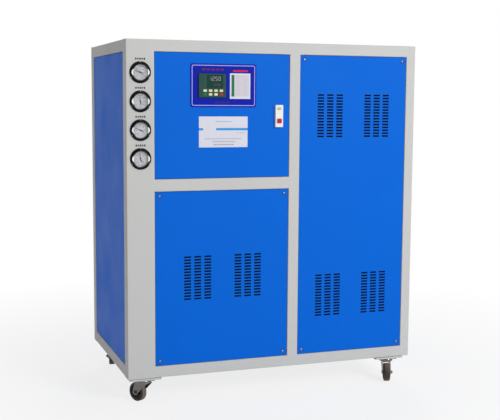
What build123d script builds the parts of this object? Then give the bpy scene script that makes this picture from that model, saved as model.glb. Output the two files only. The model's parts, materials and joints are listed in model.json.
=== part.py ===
from build123d import *
import os

os.makedirs("parts", exist_ok=True)

# Water-cooled chiller: a cabinet of folded sheet steel on four swivel castors.
# Millimetres. +Z is up, the front faces -Y, and the origin is on the floor under the
# middle of the cabinet. Each side of the cabinet has a plane of its own, with x to the
# right as seen from outside, y up from the cabinet's lower edge, and z outwards.

# Cabinet
cabinet_width = 1213.0
cabinet_depth = 700.0
cabinet_height = 1300.0
frame_sheet = 2.0
bend_radius = 3.0
top_rail_height = 45.0
bottom_rail_height = 44.0
bottom_flange = 40.0
side_top_flange = 40.0
landing_width = 15.0

# Posts, as widths on the front or back and on the side
gauge_post_width = 109.0
plain_post_width = 40.0
front_post_side = 55.0
back_post_side = 50.0
mid_post_left = 657.5
mid_post_width = 45.0
upper_opening_height = 482.0
mid_rail_height = 47.0

# Panels
panel_sheet = 1.5
panel_fold = 15.0
panel_recess = 2.5
panel_gap = 1.5
panel_bend_radius = 1.2
pan_rim_height = 25.0
pan_inset = 25.0

# Louvre groups of plain punched slots
slot_width = 28.0
slot_height = 6.5
slot_columns = 3
slot_rows = 15
slot_column_pitch = 41.0
slot_row_pitch = 11.8
louvre_columns = 2
louvre_spacing = 207.0
louvre_inset = 240.0

# Pressure gauges
gauge_count = 4
top_gauge_drop = 123.5
gauge_pitch = 108.0
gauge_flange_radius = 41.0
gauge_flange_thickness = 3.0
gauge_flange_edge = 1.5
gauge_bezel_radius = 35.0
gauge_bezel_height = 9.0
gauge_bezel_edge = 1.5
gauge_crest_radius = 32.5
gauge_window_radius = 28.5
gauge_lip = 2.2
gauge_lip_edge = 0.8
gauge_can_radius = 31.0
gauge_can_wall = 1.3
gauge_can_depth = 32.0
gauge_hole_clearance = 0.5
dial_clearance = 0.3
dial_thickness = 1.0
dial_depth = 1.5
glass_thickness = 2.0
needle_hub_radius = 3.0
needle_hub_height = 3.0
needle_length = 22.0
needle_tail = 12.0
needle_root_width = 3.4
needle_thickness = 0.8
needle_angles = (103.0, 157.0, 97.0, 159.0)

# Control group, centred on the control panel and hung from its upper edge
overlay_drop = 41.5
overlay_width = 266.0
overlay_height = 165.5
overlay_thickness = 2.0
overlay_corner = 8.0
controller_inset_x = 31.0
controller_inset_y = 36.0
controller_width = 110.0
controller_height = 92.0
controller_thickness = 6.0
controller_corner = 5.0
controller_edge = 1.5
display_inset_x = 31.0
display_inset_y = 37.0
display_width = 66.0
display_height = 50.0
display_recess = 1.5
key_columns = 4
key_rows = 2
first_key_inset_x = 25.5
first_key_inset_y = 12.5
key_column_pitch = 21.7
key_row_pitch = 14.1
key_width = 14.0
key_height = 9.0
key_rise = 1.5
key_corner = 1.5
card_thickness = 0.8
instruction_card_inset_x = 158.0
instruction_card_inset_y = 32.0
instruction_card_width = 83.5
instruction_card_height = 98.0
name_card_drop = 36.0
name_card_width = 198.0
name_card_height = 119.0

# Switch station, beside the middle post
switch_inset = 46.0
switch_drop = 241.0
switch_width = 32.0
switch_height = 87.0
switch_depth = 11.0
switch_corner = 3.0
switch_edge = 1.5
start_button_rise = 29.0
start_button_width = 14.0
start_button_height = 9.0
stop_button_rise = -19.0
stop_button_width = 18.0
stop_button_height = 17.0
button_rise = 4.0
button_travel = 3.0
button_stop_space = 1.0
button_clearance = 0.3
button_corner = 1.5

# Castors
castor_pad_thickness = 9.5
castor_pad_length = 125.0
castor_pad_recess = 3.0
castor_pad_groove_height = 2.5
castor_pad_groove_depth = 4.0
castor_inset = 38.0
left_castor_inset = 71.0
right_castor_inset = 87.0
castor_plate_length = 80.0
castor_plate_width = 62.0
castor_plate_thickness = 3.0
castor_plate_corner = 8.0
race_radius = 25.0
race_height = 4.0
race_gap = 0.3
crown_radius = 30.0
crown_height = 5.5
crown_taper = 10.0
fork_sheet = 2.5
fork_back = 28.0
kingpin_radius = 5.0
kingpin_head_radius = 9.0
kingpin_head_height = 3.0
wheel_radius = 37.5
wheel_width = 25.0
wheel_shoulder = 5.0
wheel_crown_clearance = 4.5
wheel_web = 9.0
wheel_rim_radius = 27.0
wheel_hub_radius = 11.0
hub_side_clearance = 0.3
leg_side_clearance = 2.0
trail = 33.0
axle_radius = 4.0
running_clearance = 0.05
leg_boss_radius = 12.0
axle_head_radius = 7.0
axle_head_height = 3.5
axle_nut_radius = 7.5
axle_nut_height = 6.0
axle_end_length = 3.0

# Water sockets and cable gland on the back
socket_columns_x = (180.0, 330.0)
socket_rows_y = (190.0, 340.0)
socket_radius = 29.0
socket_bore_radius = 22.4
socket_bore_length = 32.0
socket_projection = 38.0
socket_collar_radius = 38.0
socket_collar_thickness = 4.0
socket_tail = 30.0
socket_edge = 1.5
port_clearance = 0.5
gland_x = 540.0
gland_y = 190.0
gland_thread_radius = 12.5
gland_base_radius = 17.0
gland_base_height = 8.0
gland_nut_radius = 16.0
gland_nut_height = 14.0
gland_dome_radius = 13.5
gland_dome_taper = 20.0
gland_dome_height = 6.0
gland_bore_radius = 7.0
gland_bore_length = 24.0
gland_tail = 12.0

# Sizes that follow from those above
landing_depth = panel_recess + panel_fold
castor_height = (
    castor_pad_thickness + castor_plate_thickness + race_height + race_gap
    + crown_height + fork_sheet + wheel_crown_clearance + 2 * wheel_radius
)
top_opening = cabinet_height - top_rail_height
mid_rail_top = top_opening - upper_opening_height
mid_rail_bottom = mid_rail_top - mid_rail_height
mid_post_right = mid_post_left + mid_post_width
gauge_x = gauge_post_width / 2
lowest_gauge_y = cabinet_height - top_gauge_drop - (gauge_count - 1) * gauge_pitch
control_centre_x = (gauge_post_width + mid_post_left) / 2
overlay_left = control_centre_x - overlay_width / 2
overlay_bottom = top_opening - overlay_drop - overlay_height
controller_left = overlay_left + controller_inset_x
controller_bottom = overlay_bottom + controller_inset_y
display_left = controller_left + display_inset_x
display_bottom = controller_bottom + display_inset_y
first_key_x = controller_left + first_key_inset_x
first_key_y = controller_bottom + first_key_inset_y
instruction_card_left = overlay_left + instruction_card_inset_x
instruction_card_bottom = overlay_bottom + instruction_card_inset_y
name_card_left = control_centre_x - name_card_width / 2
name_card_bottom = overlay_bottom - name_card_drop - name_card_height
switch_x = mid_post_left - switch_inset
switch_y = top_opening - switch_drop
plate_underside = castor_height - castor_pad_thickness - castor_plate_thickness
race_underside = plate_underside - race_height
crown_top = race_underside - race_gap
crown_plate_top = crown_top - crown_height
crown_plate_bottom = crown_plate_top - fork_sheet
fork_inner_half = wheel_width / 2 + leg_side_clearance
fork_outer_half = fork_inner_half + fork_sheet
panel_face = -panel_recess
overlay_face = panel_face + overlay_thickness

half_width = cabinet_width / 2
half_depth = cabinet_depth / 2
front = Plane((-half_width, -half_depth, castor_height), x_dir=(1, 0, 0), z_dir=(0, -1, 0))
back = Plane((half_width, half_depth, castor_height), x_dir=(-1, 0, 0), z_dir=(0, 1, 0))
left = Plane((-half_width, half_depth, castor_height), x_dir=(0, -1, 0), z_dir=(-1, 0, 0))
right = Plane((half_width, -half_depth, castor_height), x_dir=(0, 1, 0), z_dir=(1, 0, 0))
roof = Plane((-half_width, -half_depth, castor_height + cabinet_height), x_dir=(1, 0, 0))


def finish(piece, name):
    """Labels a finished piece and writes it to its own file."""
    piece.part.label = name
    export_step(piece.part, f"parts/{name}.step")


def outline(plane, points, rounded=()):
    """A closed outline of straight runs, with the named corners rounded as bends."""
    with BuildSketch(plane) as flat:
        with BuildLine():
            Polyline(*points, close=True)
        make_face()
        for corner, radius in rounded:
            fillet(flat.vertices().sort_by_distance((*corner, 0))[0], radius)
    return flat.sketch


def block(plane, x0, x1, y0, y1):
    """A rectangle on a plane, from its low corner to its high one."""
    with BuildSketch(plane) as flat:
        with Locations(((x0 + x1) / 2, (y0 + y1) / 2)):
            Rectangle(x1 - x0, y1 - y0)
    return flat.sketch


def card(plane, x0, y0, width, height, corner):
    """A rectangle with round corners on a plane."""
    with BuildSketch(plane) as flat:
        with Locations((x0 + width / 2, y0 + height / 2)):
            RectangleRounded(width, height, corner)
    return flat.sketch


# Frame: posts


def corner_post(side_x, side_y, face, side, face_openings):
    """A corner post folded round both faces, with a return and landings at each opening."""
    sheet = frame_sheet
    reach = landing_depth

    def at(u, v):
        return (side_x * (half_width - u), side_y * (half_depth - v))

    base = Plane.XY.offset(castor_height)
    inner_bend = bend_radius - sheet
    section = [
        at(0, 0), at(face, 0), at(face, reach), at(face - sheet, reach), at(face - sheet, sheet),
        at(sheet, sheet), at(sheet, side - sheet), at(reach, side - sheet), at(reach, side), at(0, side),
    ]
    bends = [(at(0, 0), bend_radius), (at(face, 0), bend_radius), (at(0, side), bend_radius)]
    bends += [(at(sheet, sheet), inner_bend), (at(face - sheet, sheet), inner_bend)]
    bends += [(at(sheet, side - sheet), inner_bend)]
    cap = [at(0, 0), at(face, 0), at(face, side), at(0, side)]
    face_landing = [
        at(face - sheet, reach), at(face + landing_width, reach),
        at(face + landing_width, reach + sheet), at(face - sheet, reach + sheet),
    ]
    side_landing = [
        at(reach, side - sheet), at(reach, side + landing_width),
        at(reach + sheet, side + landing_width), at(reach + sheet, side - sheet),
    ]
    with BuildPart() as post:
        extrude(outline(base, section, bends), amount=cabinet_height, dir=(0, 0, 1))
        for level in (0, cabinet_height - sheet):
            extrude(outline(base.offset(level), cap, bends[:1]), amount=sheet, dir=(0, 0, 1))
        for low, high in face_openings:
            strip = outline(base.offset(low + landing_width), face_landing)
            extrude(strip, amount=high - low - 2 * landing_width, dir=(0, 0, 1))
        strip = outline(base.offset(bottom_rail_height + landing_width), side_landing)
        extrude(strip, amount=top_opening - bottom_rail_height - 2 * landing_width, dir=(0, 0, 1))
    return post


low_opening = (bottom_rail_height, mid_rail_bottom)
high_opening = (mid_rail_top, top_opening)
tall_opening = (bottom_rail_height, top_opening)

post_front_left = corner_post(-1, -1, gauge_post_width, front_post_side, (low_opening, high_opening))
with BuildPart() as gauge_post:
    add(post_front_left.part)
    with BuildSketch(front):
        with Locations((gauge_x, lowest_gauge_y)):
            with Locations(*[(0, number * gauge_pitch) for number in range(gauge_count)]):
                Circle(gauge_can_radius + gauge_hole_clearance)
    extrude(amount=-frame_sheet, mode=Mode.SUBTRACT)
finish(gauge_post, "post_front_left")

post_front_right = corner_post(1, -1, plain_post_width, front_post_side, (tall_opening,))
finish(post_front_right, "post_front_right")
post_back_left = corner_post(-1, 1, plain_post_width, back_post_side, (tall_opening,))
finish(post_back_left, "post_back_left")
post_back_right = corner_post(1, 1, plain_post_width, back_post_side, (low_opening, high_opening))
finish(post_back_right, "post_back_right")


def mid_post(side):
    """A post between the two halves of the front or back, a channel with landings."""
    with BuildPart() as post:
        level = Plane(side.from_local_coords((0, bottom_rail_height, 0)), x_dir=side.x_dir, z_dir=(0, 0, 1))
        sheet = frame_sheet
        reach = landing_depth
        # The plane's y runs outwards or inwards with the side, so depths are taken inwards.
        inwards = 1 if level.y_dir.dot(side.z_dir) < 0 else -1
        x0 = mid_post_left
        x1 = mid_post_right
        section = [
            (x0, 0), (x1, 0), (x1, inwards * reach), (x1 - sheet, inwards * reach),
            (x1 - sheet, inwards * sheet), (x0 + sheet, inwards * sheet),
            (x0 + sheet, inwards * reach), (x0, inwards * reach),
        ]
        bends = [((x0, 0), bend_radius), ((x1, 0), bend_radius)]
        bends += [((x0 + sheet, inwards * sheet), bend_radius - sheet)]
        bends += [((x1 - sheet, inwards * sheet), bend_radius - sheet)]
        height = top_opening - bottom_rail_height
        extrude(outline(level, section, bends), amount=height, dir=(0, 0, 1))
        low = Plane(side.origin + side.z_dir * -reach, x_dir=side.x_dir, z_dir=side.z_dir)
        for bottom, top in (low_opening, high_opening):
            landing = block(low, x0 - landing_width, x0 + sheet, bottom + landing_width, top - landing_width)
            extrude(landing, amount=-sheet)
        bottom, top = tall_opening
        landing = block(low, x1 - sheet, x1 + landing_width, bottom + landing_width, top - landing_width)
        extrude(landing, amount=-sheet)
    return post


for side, name in ((front, "mid_post_front"), (back, "mid_post_back")):
    finish(mid_post(side), name)


# Frame: rails


def across(side, x):
    """The plane that a side's rails are drawn on: x inwards, y up, looking along the rail."""
    return Plane(side.from_local_coords((x, 0, 0)), x_dir=-side.z_dir, z_dir=side.x_dir)


def bottom_rail(side, x0, x1):
    """A bottom rail: face, flange under the base pan, return and landing."""
    sheet = frame_sheet
    reach = landing_depth
    top = bottom_rail_height
    points = [
        (0, 0), (bottom_flange, 0), (bottom_flange, sheet), (sheet, sheet), (sheet, top - sheet),
        (reach + sheet, top - sheet), (reach + sheet, top + landing_width), (reach, top + landing_width),
        (reach, top), (0, top),
    ]
    bends = [((0, 0), bend_radius), ((0, top), bend_radius)]
    bends += [((sheet, sheet), bend_radius - sheet), ((sheet, top - sheet), bend_radius - sheet)]
    with BuildPart() as rail:
        extrude(outline(across(side, x0), points, bends), amount=x1 - x0, dir=side.x_dir)
    return rail


def top_rail(side, x0, x1, flange, roof_landing_trim):
    """A top rail: face, top flange, the roof's return and landing, and the panel's landing."""
    sheet = frame_sheet
    reach = landing_depth
    top = cabinet_height
    low = top_opening
    points = [
        (0, top), (flange, top), (flange, top - reach), (flange - sheet, top - reach),
        (flange - sheet, top - sheet), (sheet, top - sheet), (sheet, low + sheet),
        (reach + sheet, low + sheet), (reach + sheet, low - landing_width),
        (reach, low - landing_width), (reach, low), (0, low),
    ]
    bends = [((0, top), bend_radius), ((0, low), bend_radius)]
    bends += [((sheet, top - sheet), bend_radius - sheet), ((sheet, low + sheet), bend_radius - sheet)]
    landing = [
        (flange - sheet, top - reach - sheet), (flange + landing_width, top - reach - sheet),
        (flange + landing_width, top - reach), (flange - sheet, top - reach),
    ]
    with BuildPart() as rail:
        extrude(outline(across(side, x0), points, bends), amount=x1 - x0, dir=side.x_dir)
        strip = outline(across(side, x0 + roof_landing_trim), landing)
        extrude(strip, amount=x1 - x0 - 2 * roof_landing_trim, dir=side.x_dir)
    return rail


rail_spans = {
    "front": (front, gauge_post_width, cabinet_width - plain_post_width, front_post_side, 0),
    "back": (back, plain_post_width, cabinet_width - plain_post_width, back_post_side, 0),
    "left": (left, back_post_side, cabinet_depth - front_post_side, side_top_flange, landing_width),
    "right": (right, front_post_side, cabinet_depth - back_post_side, side_top_flange, landing_width),
}
for place, (side, start, end, flange, trim) in rail_spans.items():
    finish(bottom_rail(side, start, end), f"bottom_rail_{place}")
    finish(top_rail(side, start, end, flange, trim), f"top_rail_{place}")


def mid_rail(side, x0, x1):
    """The rail between the upper and lower panels, with a landing above and below."""
    sheet = frame_sheet
    reach = landing_depth
    low = mid_rail_bottom
    top = mid_rail_top
    points = [
        (0, low), (reach, low), (reach, low - landing_width), (reach + sheet, low - landing_width),
        (reach + sheet, low + sheet), (sheet, low + sheet), (sheet, top - sheet),
        (reach + sheet, top - sheet), (reach + sheet, top + landing_width),
        (reach, top + landing_width), (reach, top), (0, top),
    ]
    bends = [((0, low), bend_radius), ((0, top), bend_radius)]
    bends += [((sheet, low + sheet), bend_radius - sheet), ((sheet, top - sheet), bend_radius - sheet)]
    with BuildPart() as rail:
        extrude(outline(across(side, x0), points, bends), amount=x1 - x0, dir=side.x_dir)
    return rail


finish(mid_rail(front, gauge_post_width, mid_post_left), "mid_rail_front")
finish(mid_rail(back, plain_post_width, mid_post_left), "mid_rail_back")


# Panels


def folded_panel(side, x0, x1, y0, y1, louvre_levels=()):
    """A panel folded as a shallow tray, which fills an opening, with louvres at each level."""
    face = side.offset(-panel_recess)
    left_edge = x0 + panel_gap
    right_edge = x1 - panel_gap
    low_edge = y0 + panel_gap
    high_edge = y1 - panel_gap
    with BuildPart() as panel:
        extrude(block(face, left_edge, right_edge, low_edge, high_edge), amount=-panel_fold)
        fillet(panel.faces().sort_by(Axis(face.origin, face.z_dir))[-1].edges(), panel_bend_radius)
        hollow = block(
            face.offset(-panel_sheet), left_edge + panel_sheet, right_edge - panel_sheet,
            low_edge + panel_sheet, high_edge - panel_sheet,
        )
        extrude(hollow, amount=-panel_fold, mode=Mode.SUBTRACT)
        for level in louvre_levels:
            with BuildSketch(face):
                with Locations(((x0 + x1) / 2, level)):
                    with GridLocations(louvre_spacing, 0, louvre_columns, 1):
                        with GridLocations(slot_column_pitch, slot_row_pitch, slot_columns, slot_rows):
                            Rectangle(slot_width, slot_height)
            extrude(amount=-panel_sheet, mode=Mode.SUBTRACT)
    return panel


low_louvres = bottom_rail_height + louvre_inset
high_louvres = top_opening - louvre_inset
lower_panel_louvres = (bottom_rail_height + mid_rail_bottom) / 2
left_half = (gauge_post_width, mid_post_left)
right_half = (mid_post_right, cabinet_width - plain_post_width)
back_left_half = (plain_post_width, mid_post_left)

finish(folded_panel(front, *left_half, *high_opening), "control_panel")
lower_left_panel = folded_panel(front, *left_half, *low_opening, (lower_panel_louvres,))
finish(lower_left_panel, "lower_left_panel")
right_panel = folded_panel(front, *right_half, *tall_opening, (low_louvres, high_louvres))
finish(right_panel, "right_panel")
back_tall_panel = folded_panel(back, *right_half, *tall_opening, (high_louvres,))
finish(back_tall_panel, "back_tall_panel")
finish(folded_panel(back, *back_left_half, *high_opening), "back_upper_panel")
left_side_span = (back_post_side, cabinet_depth - front_post_side)
right_side_span = (front_post_side, cabinet_depth - back_post_side)
finish(folded_panel(left, *left_side_span, *tall_opening), "left_side_panel")
finish(folded_panel(right, *right_side_span, *tall_opening), "right_side_panel")
roof_span_x = (side_top_flange, cabinet_width - side_top_flange)
roof_span_y = (front_post_side, cabinet_depth - back_post_side)
finish(folded_panel(roof, *roof_span_x, *roof_span_y), "roof_panel")

socket_places = [(x, y) for y in socket_rows_y for x in socket_columns_x]
with BuildPart() as back_lower_panel:
    add(folded_panel(back, *back_left_half, *low_opening).part)
    with BuildSketch(back.offset(-panel_recess)):
        with Locations(*socket_places):
            Circle(socket_radius + port_clearance)
        with Locations((gland_x, gland_y)):
            Circle(gland_thread_radius + port_clearance)
    extrude(amount=-panel_sheet, mode=Mode.SUBTRACT)
finish(back_lower_panel, "back_lower_panel")

pan_floor = roof.offset(frame_sheet - cabinet_height)
pan_span = (pan_inset, cabinet_width - pan_inset, pan_inset, cabinet_depth - pan_inset)
with BuildPart() as base_pan:
    extrude(block(pan_floor, *pan_span), amount=pan_rim_height)
    pan_inside = (
        pan_inset + panel_sheet, cabinet_width - pan_inset - panel_sheet,
        pan_inset + panel_sheet, cabinet_depth - pan_inset - panel_sheet,
    )
    extrude(block(pan_floor.offset(panel_sheet), *pan_inside), amount=pan_rim_height, mode=Mode.SUBTRACT)
finish(base_pan, "base_pan")


# Pressure gauges, in a column on the front left post

gauge_centres = [(gauge_x, lowest_gauge_y + number * gauge_pitch) for number in range(gauge_count)]
can_inside = gauge_can_radius - gauge_can_wall
glass_face = gauge_bezel_height - gauge_lip
dial_face = -dial_depth


def gauge_case(x, y):
    """A round case: flange on the post, bezel that slopes in to the window, and the can behind."""
    axis = Plane(front.from_local_coords((x, y, 0)), x_dir=front.x_dir, z_dir=(0, 0, 1))
    profile = [
        (0, gauge_can_depth), (gauge_can_radius, gauge_can_depth), (gauge_can_radius, 0),
        (gauge_flange_radius, 0), (gauge_flange_radius, -gauge_flange_thickness),
        (gauge_bezel_radius, -gauge_flange_thickness), (gauge_bezel_radius, -gauge_bezel_height),
        (gauge_crest_radius, -gauge_bezel_height), (gauge_window_radius, -glass_face - gauge_lip_edge),
        (gauge_window_radius, -glass_face),
        (can_inside, -glass_face), (can_inside, -dial_face + dial_thickness),
        (can_inside, gauge_can_depth - gauge_can_wall), (0, gauge_can_depth - gauge_can_wall),
    ]
    edges = [
        ((gauge_flange_radius, -gauge_flange_thickness), gauge_flange_edge),
        ((gauge_bezel_radius, -gauge_bezel_height), gauge_bezel_edge),
    ]
    with BuildPart() as case:
        add(outline(axis, profile, edges))
        revolve(axis=Axis(axis.origin, front.z_dir))
    return case


with BuildPart() as gauge_cases:
    for x, y in gauge_centres:
        add(gauge_case(x, y).part)
finish(gauge_cases, "gauge_cases")

with BuildPart() as gauge_dials:
    with BuildSketch(front.offset(dial_face)):
        with Locations(*gauge_centres):
            Circle(can_inside - dial_clearance)
    extrude(amount=-dial_thickness)
finish(gauge_dials, "gauge_dials")

with BuildPart() as gauge_glasses:
    with BuildSketch(front.offset(glass_face)):
        with Locations(*gauge_centres):
            Circle(can_inside - dial_clearance)
    extrude(amount=-glass_thickness)
finish(gauge_glasses, "gauge_glasses")

with BuildPart() as gauge_needles:
    with BuildSketch(front.offset(dial_face)):
        with Locations(*gauge_centres):
            Circle(needle_hub_radius)
    extrude(amount=needle_hub_height)
    with BuildSketch(front.offset(dial_face + needle_hub_height / 2)):
        for (x, y), angle in zip(gauge_centres, needle_angles):
            with Locations(Location((x, y), angle)):
                Polygon(
                    (needle_length, 0), (0, needle_root_width / 2), (-needle_tail, needle_root_width / 2),
                    (-needle_tail, -needle_root_width / 2), (0, -needle_root_width / 2), align=None,
                )
    extrude(amount=needle_thickness)
finish(gauge_needles, "gauge_needles")


# Control group on the control panel

with BuildPart() as control_overlay:
    plate = card(
        front.offset(panel_face), overlay_left, overlay_bottom, overlay_width, overlay_height, overlay_corner
    )
    extrude(plate, amount=overlay_thickness)
finish(control_overlay, "control_overlay")

with BuildPart() as controller:
    body = card(
        front.offset(overlay_face), controller_left, controller_bottom,
        controller_width, controller_height, controller_corner,
    )
    extrude(body, amount=controller_thickness)
    chamfer(controller.faces().sort_by(Axis(front.origin, front.z_dir))[-1].edges(), controller_edge)
    window = block(
        front.offset(overlay_face + controller_thickness),
        display_left, display_left + display_width, display_bottom, display_bottom + display_height,
    )
    extrude(window, amount=-display_recess, mode=Mode.SUBTRACT)
finish(controller, "controller")

with BuildPart() as controller_keys:
    with BuildSketch(front.offset(overlay_face + controller_thickness)):
        key_centre_x = first_key_x + (key_columns - 1) * key_column_pitch / 2
        key_centre_y = first_key_y + (key_rows - 1) * key_row_pitch / 2
        with Locations((key_centre_x, key_centre_y)):
            with GridLocations(key_column_pitch, key_row_pitch, key_columns, key_rows):
                RectangleRounded(key_width, key_height, key_corner)
    extrude(amount=key_rise)
finish(controller_keys, "controller_keys")

with BuildPart() as instruction_card:
    plate = block(
        front.offset(overlay_face),
        instruction_card_left, instruction_card_left + instruction_card_width,
        instruction_card_bottom, instruction_card_bottom + instruction_card_height,
    )
    extrude(plate, amount=card_thickness)
finish(instruction_card, "instruction_card")

with BuildPart() as name_card:
    plate = block(
        front.offset(panel_face),
        name_card_left, name_card_left + name_card_width,
        name_card_bottom, name_card_bottom + name_card_height,
    )
    extrude(plate, amount=card_thickness)
finish(name_card, "name_card")


# Switch station: a housing with two sprung push buttons

buttons = {
    "start_button": (switch_y + start_button_rise, start_button_width, start_button_height),
    "stop_button": (switch_y + stop_button_rise, stop_button_width, stop_button_height),
}
button_back = panel_face + button_travel + button_stop_space
button_length = switch_depth + button_rise - button_travel - button_stop_space

with BuildPart() as switch_housing:
    body = card(
        front.offset(panel_face), switch_x - switch_width / 2, switch_y - switch_height / 2,
        switch_width, switch_height, switch_corner,
    )
    extrude(body, amount=switch_depth)
    fillet(switch_housing.faces().sort_by(Axis(front.origin, front.z_dir))[-1].edges(), switch_edge)
    with BuildSketch(front.offset(panel_face)):
        for y, width, height in buttons.values():
            with Locations((switch_x, y)):
                RectangleRounded(
                    width + 2 * button_clearance, height + 2 * button_clearance,
                    button_corner + button_clearance,
                )
    extrude(amount=switch_depth, mode=Mode.SUBTRACT)
finish(switch_housing, "switch_housing")

for name, (y, width, height) in buttons.items():
    with BuildPart() as button:
        with BuildSketch(front.offset(button_back)):
            with Locations((switch_x, y)):
                RectangleRounded(width, height, button_corner)
        extrude(amount=button_length)
        fillet(button.faces().sort_by(Axis(front.origin, front.z_dir))[-1].edges(), button_corner / 2)
    finish(button, name)


# Castors: a plate with its race, a fork that swivels under it, and a wheel that trails

left_castor_x = left_castor_inset - half_width
right_castor_x = half_width - right_castor_inset
castor_low_y = castor_inset - half_depth
castor_high_y = half_depth - castor_inset
castors = {
    "front_left": (left_castor_x, castor_low_y, 122.0, 1),
    "front_right": (right_castor_x, castor_low_y, 251.0, 1),
    "back_left": (left_castor_x, castor_high_y, 259.0, -1),
    "back_right": (right_castor_x, castor_high_y, 240.0, 1),
}
castor_points = [(x, y) for x, y, heading, nut_side in castors.values()]

castor_pad_width = 2 * (castor_inset - castor_pad_recess)
with BuildPart() as castor_pads:
    with BuildSketch(Plane.XY.offset(castor_height - castor_pad_thickness)):
        with Locations(*castor_points):
            Rectangle(castor_pad_length, castor_pad_width)
    extrude(amount=castor_pad_thickness - castor_pad_groove_height)
    with BuildSketch(Plane.XY.offset(castor_height - castor_pad_groove_height)):
        with Locations(*castor_points):
            Rectangle(
                castor_pad_length - 2 * castor_pad_groove_depth,
                castor_pad_width - 2 * castor_pad_groove_depth,
            )
    extrude(amount=castor_pad_groove_height)
finish(castor_pads, "castor_pads")

kingpin_bottom = crown_plate_bottom - race_gap - kingpin_head_height
with BuildPart() as castor_plates:
    with BuildSketch(Plane.XY.offset(plate_underside)):
        with Locations(*castor_points):
            RectangleRounded(castor_plate_length, castor_plate_width, castor_plate_corner)
    extrude(amount=castor_plate_thickness)
    with BuildSketch(Plane.XY.offset(race_underside)):
        with Locations(*castor_points):
            Circle(race_radius)
    extrude(amount=race_height)
    with BuildSketch(Plane.XY.offset(kingpin_bottom)):
        with Locations(*castor_points):
            Circle(kingpin_radius)
    extrude(amount=race_underside - kingpin_bottom)
    with BuildSketch(Plane.XY.offset(kingpin_bottom)):
        with Locations(*castor_points):
            Circle(kingpin_head_radius)
    extrude(amount=kingpin_head_height)
finish(castor_plates, "castor_plates")


def castor_fork(x, y, heading, nut_side):
    """A pressed fork: crown with a hole for the king pin, two legs and the axle bolt."""
    upright = Plane((x, y, 0), x_dir=(1, 0, 0), z_dir=(0, 0, 1)).rotated((0, 0, heading))
    leg_side = Plane(upright.origin, x_dir=upright.x_dir, z_dir=-upright.y_dir)
    with BuildPart() as fork:
        with BuildSketch(leg_side.offset(fork_inner_half)) as leg:
            with Locations((trail, wheel_radius)):
                Circle(leg_boss_radius)
            with Locations(((trail - fork_back) / 2, crown_plate_bottom + fork_sheet / 2)):
                Rectangle(trail + fork_back, fork_sheet)
            make_hull()
        extrude(amount=fork_sheet)
        mirror(about=leg_side)
        with BuildSketch(upright.offset(crown_plate_bottom)):
            with Locations(((trail - fork_back) / 2, 0)):
                Rectangle(trail + fork_back, 2 * fork_outer_half)
        extrude(amount=fork_sheet)
        with BuildSketch(upright.offset(crown_plate_top)):
            Circle(crown_radius)
        extrude(amount=crown_height, taper=crown_taper)
        with BuildSketch(upright.offset(crown_plate_bottom)):
            Circle(kingpin_radius + running_clearance)
        extrude(amount=crown_height + fork_sheet, mode=Mode.SUBTRACT)
        nut_face = leg_side.offset(-nut_side * fork_outer_half)
        head_face = leg_side.offset(nut_side * fork_outer_half)
        with BuildSketch(leg_side.offset(-fork_outer_half)):
            with Locations((trail, wheel_radius)):
                Circle(axle_radius)
        extrude(amount=2 * fork_outer_half)
        with BuildSketch(head_face):
            with Locations((trail, wheel_radius)):
                Circle(axle_head_radius)
        extrude(amount=nut_side * axle_head_height)
        with BuildSketch(nut_face):
            with Locations((trail, wheel_radius)):
                RegularPolygon(axle_nut_radius, 6)
        extrude(amount=-nut_side * axle_nut_height)
        with BuildSketch(nut_face):
            with Locations((trail, wheel_radius)):
                Circle(axle_radius)
        extrude(amount=-nut_side * (axle_nut_height + axle_end_length))
    return fork


def castor_wheel(x, y, heading):
    """A moulded wheel: round-shouldered tread, thin web and a hub that turns on the axle."""
    upright = Plane((x, y, 0), x_dir=(1, 0, 0), z_dir=(0, 0, 1)).rotated((0, 0, heading))
    centre = upright.from_local_coords((trail, 0, wheel_radius))
    section = Plane(centre, x_dir=upright.y_dir, z_dir=upright.x_dir)
    hub_half = fork_inner_half - hub_side_clearance
    bore = axle_radius + running_clearance
    profile = [
        (-hub_half, bore), (hub_half, bore), (hub_half, wheel_hub_radius),
        (wheel_web / 2, wheel_hub_radius), (wheel_web / 2, wheel_rim_radius),
        (wheel_width / 2, wheel_rim_radius), (wheel_width / 2, wheel_radius),
        (-wheel_width / 2, wheel_radius), (-wheel_width / 2, wheel_rim_radius),
        (-wheel_web / 2, wheel_rim_radius), (-wheel_web / 2, wheel_hub_radius),
        (-hub_half, wheel_hub_radius),
    ]
    shoulders = [((side * wheel_width / 2, wheel_radius), wheel_shoulder) for side in (-1, 1)]
    with BuildPart() as wheel:
        add(outline(section, profile, shoulders))
        revolve(axis=Axis(centre, upright.y_dir))
    return wheel


for place, (x, y, heading, nut_side) in castors.items():
    finish(castor_fork(x, y, heading, nut_side), f"castor_fork_{place}")
    finish(castor_wheel(x, y, heading), f"castor_wheel_{place}")


# Back: four water sockets and a cable gland on the lower panel

socket_names = ("chilled_water_outlet", "chilled_water_inlet", "cooling_water_outlet", "cooling_water_inlet")
outlet_face = back.offset(panel_face)
for name, place in zip(socket_names, socket_places):
    with BuildPart() as socket:
        with BuildSketch(outlet_face.offset(-socket_tail)):
            with Locations(place):
                Circle(socket_radius)
        extrude(amount=socket_tail + socket_projection)
        chamfer(socket.faces().sort_by(Axis.Y)[-1].edges(), socket_edge)
        with BuildSketch(outlet_face):
            with Locations(place):
                Circle(socket_collar_radius)
        extrude(amount=socket_collar_thickness)
        with BuildSketch(outlet_face.offset(socket_projection)):
            with Locations(place):
                Circle(socket_bore_radius)
        extrude(amount=-socket_bore_length, mode=Mode.SUBTRACT)
    finish(socket, name)

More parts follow.
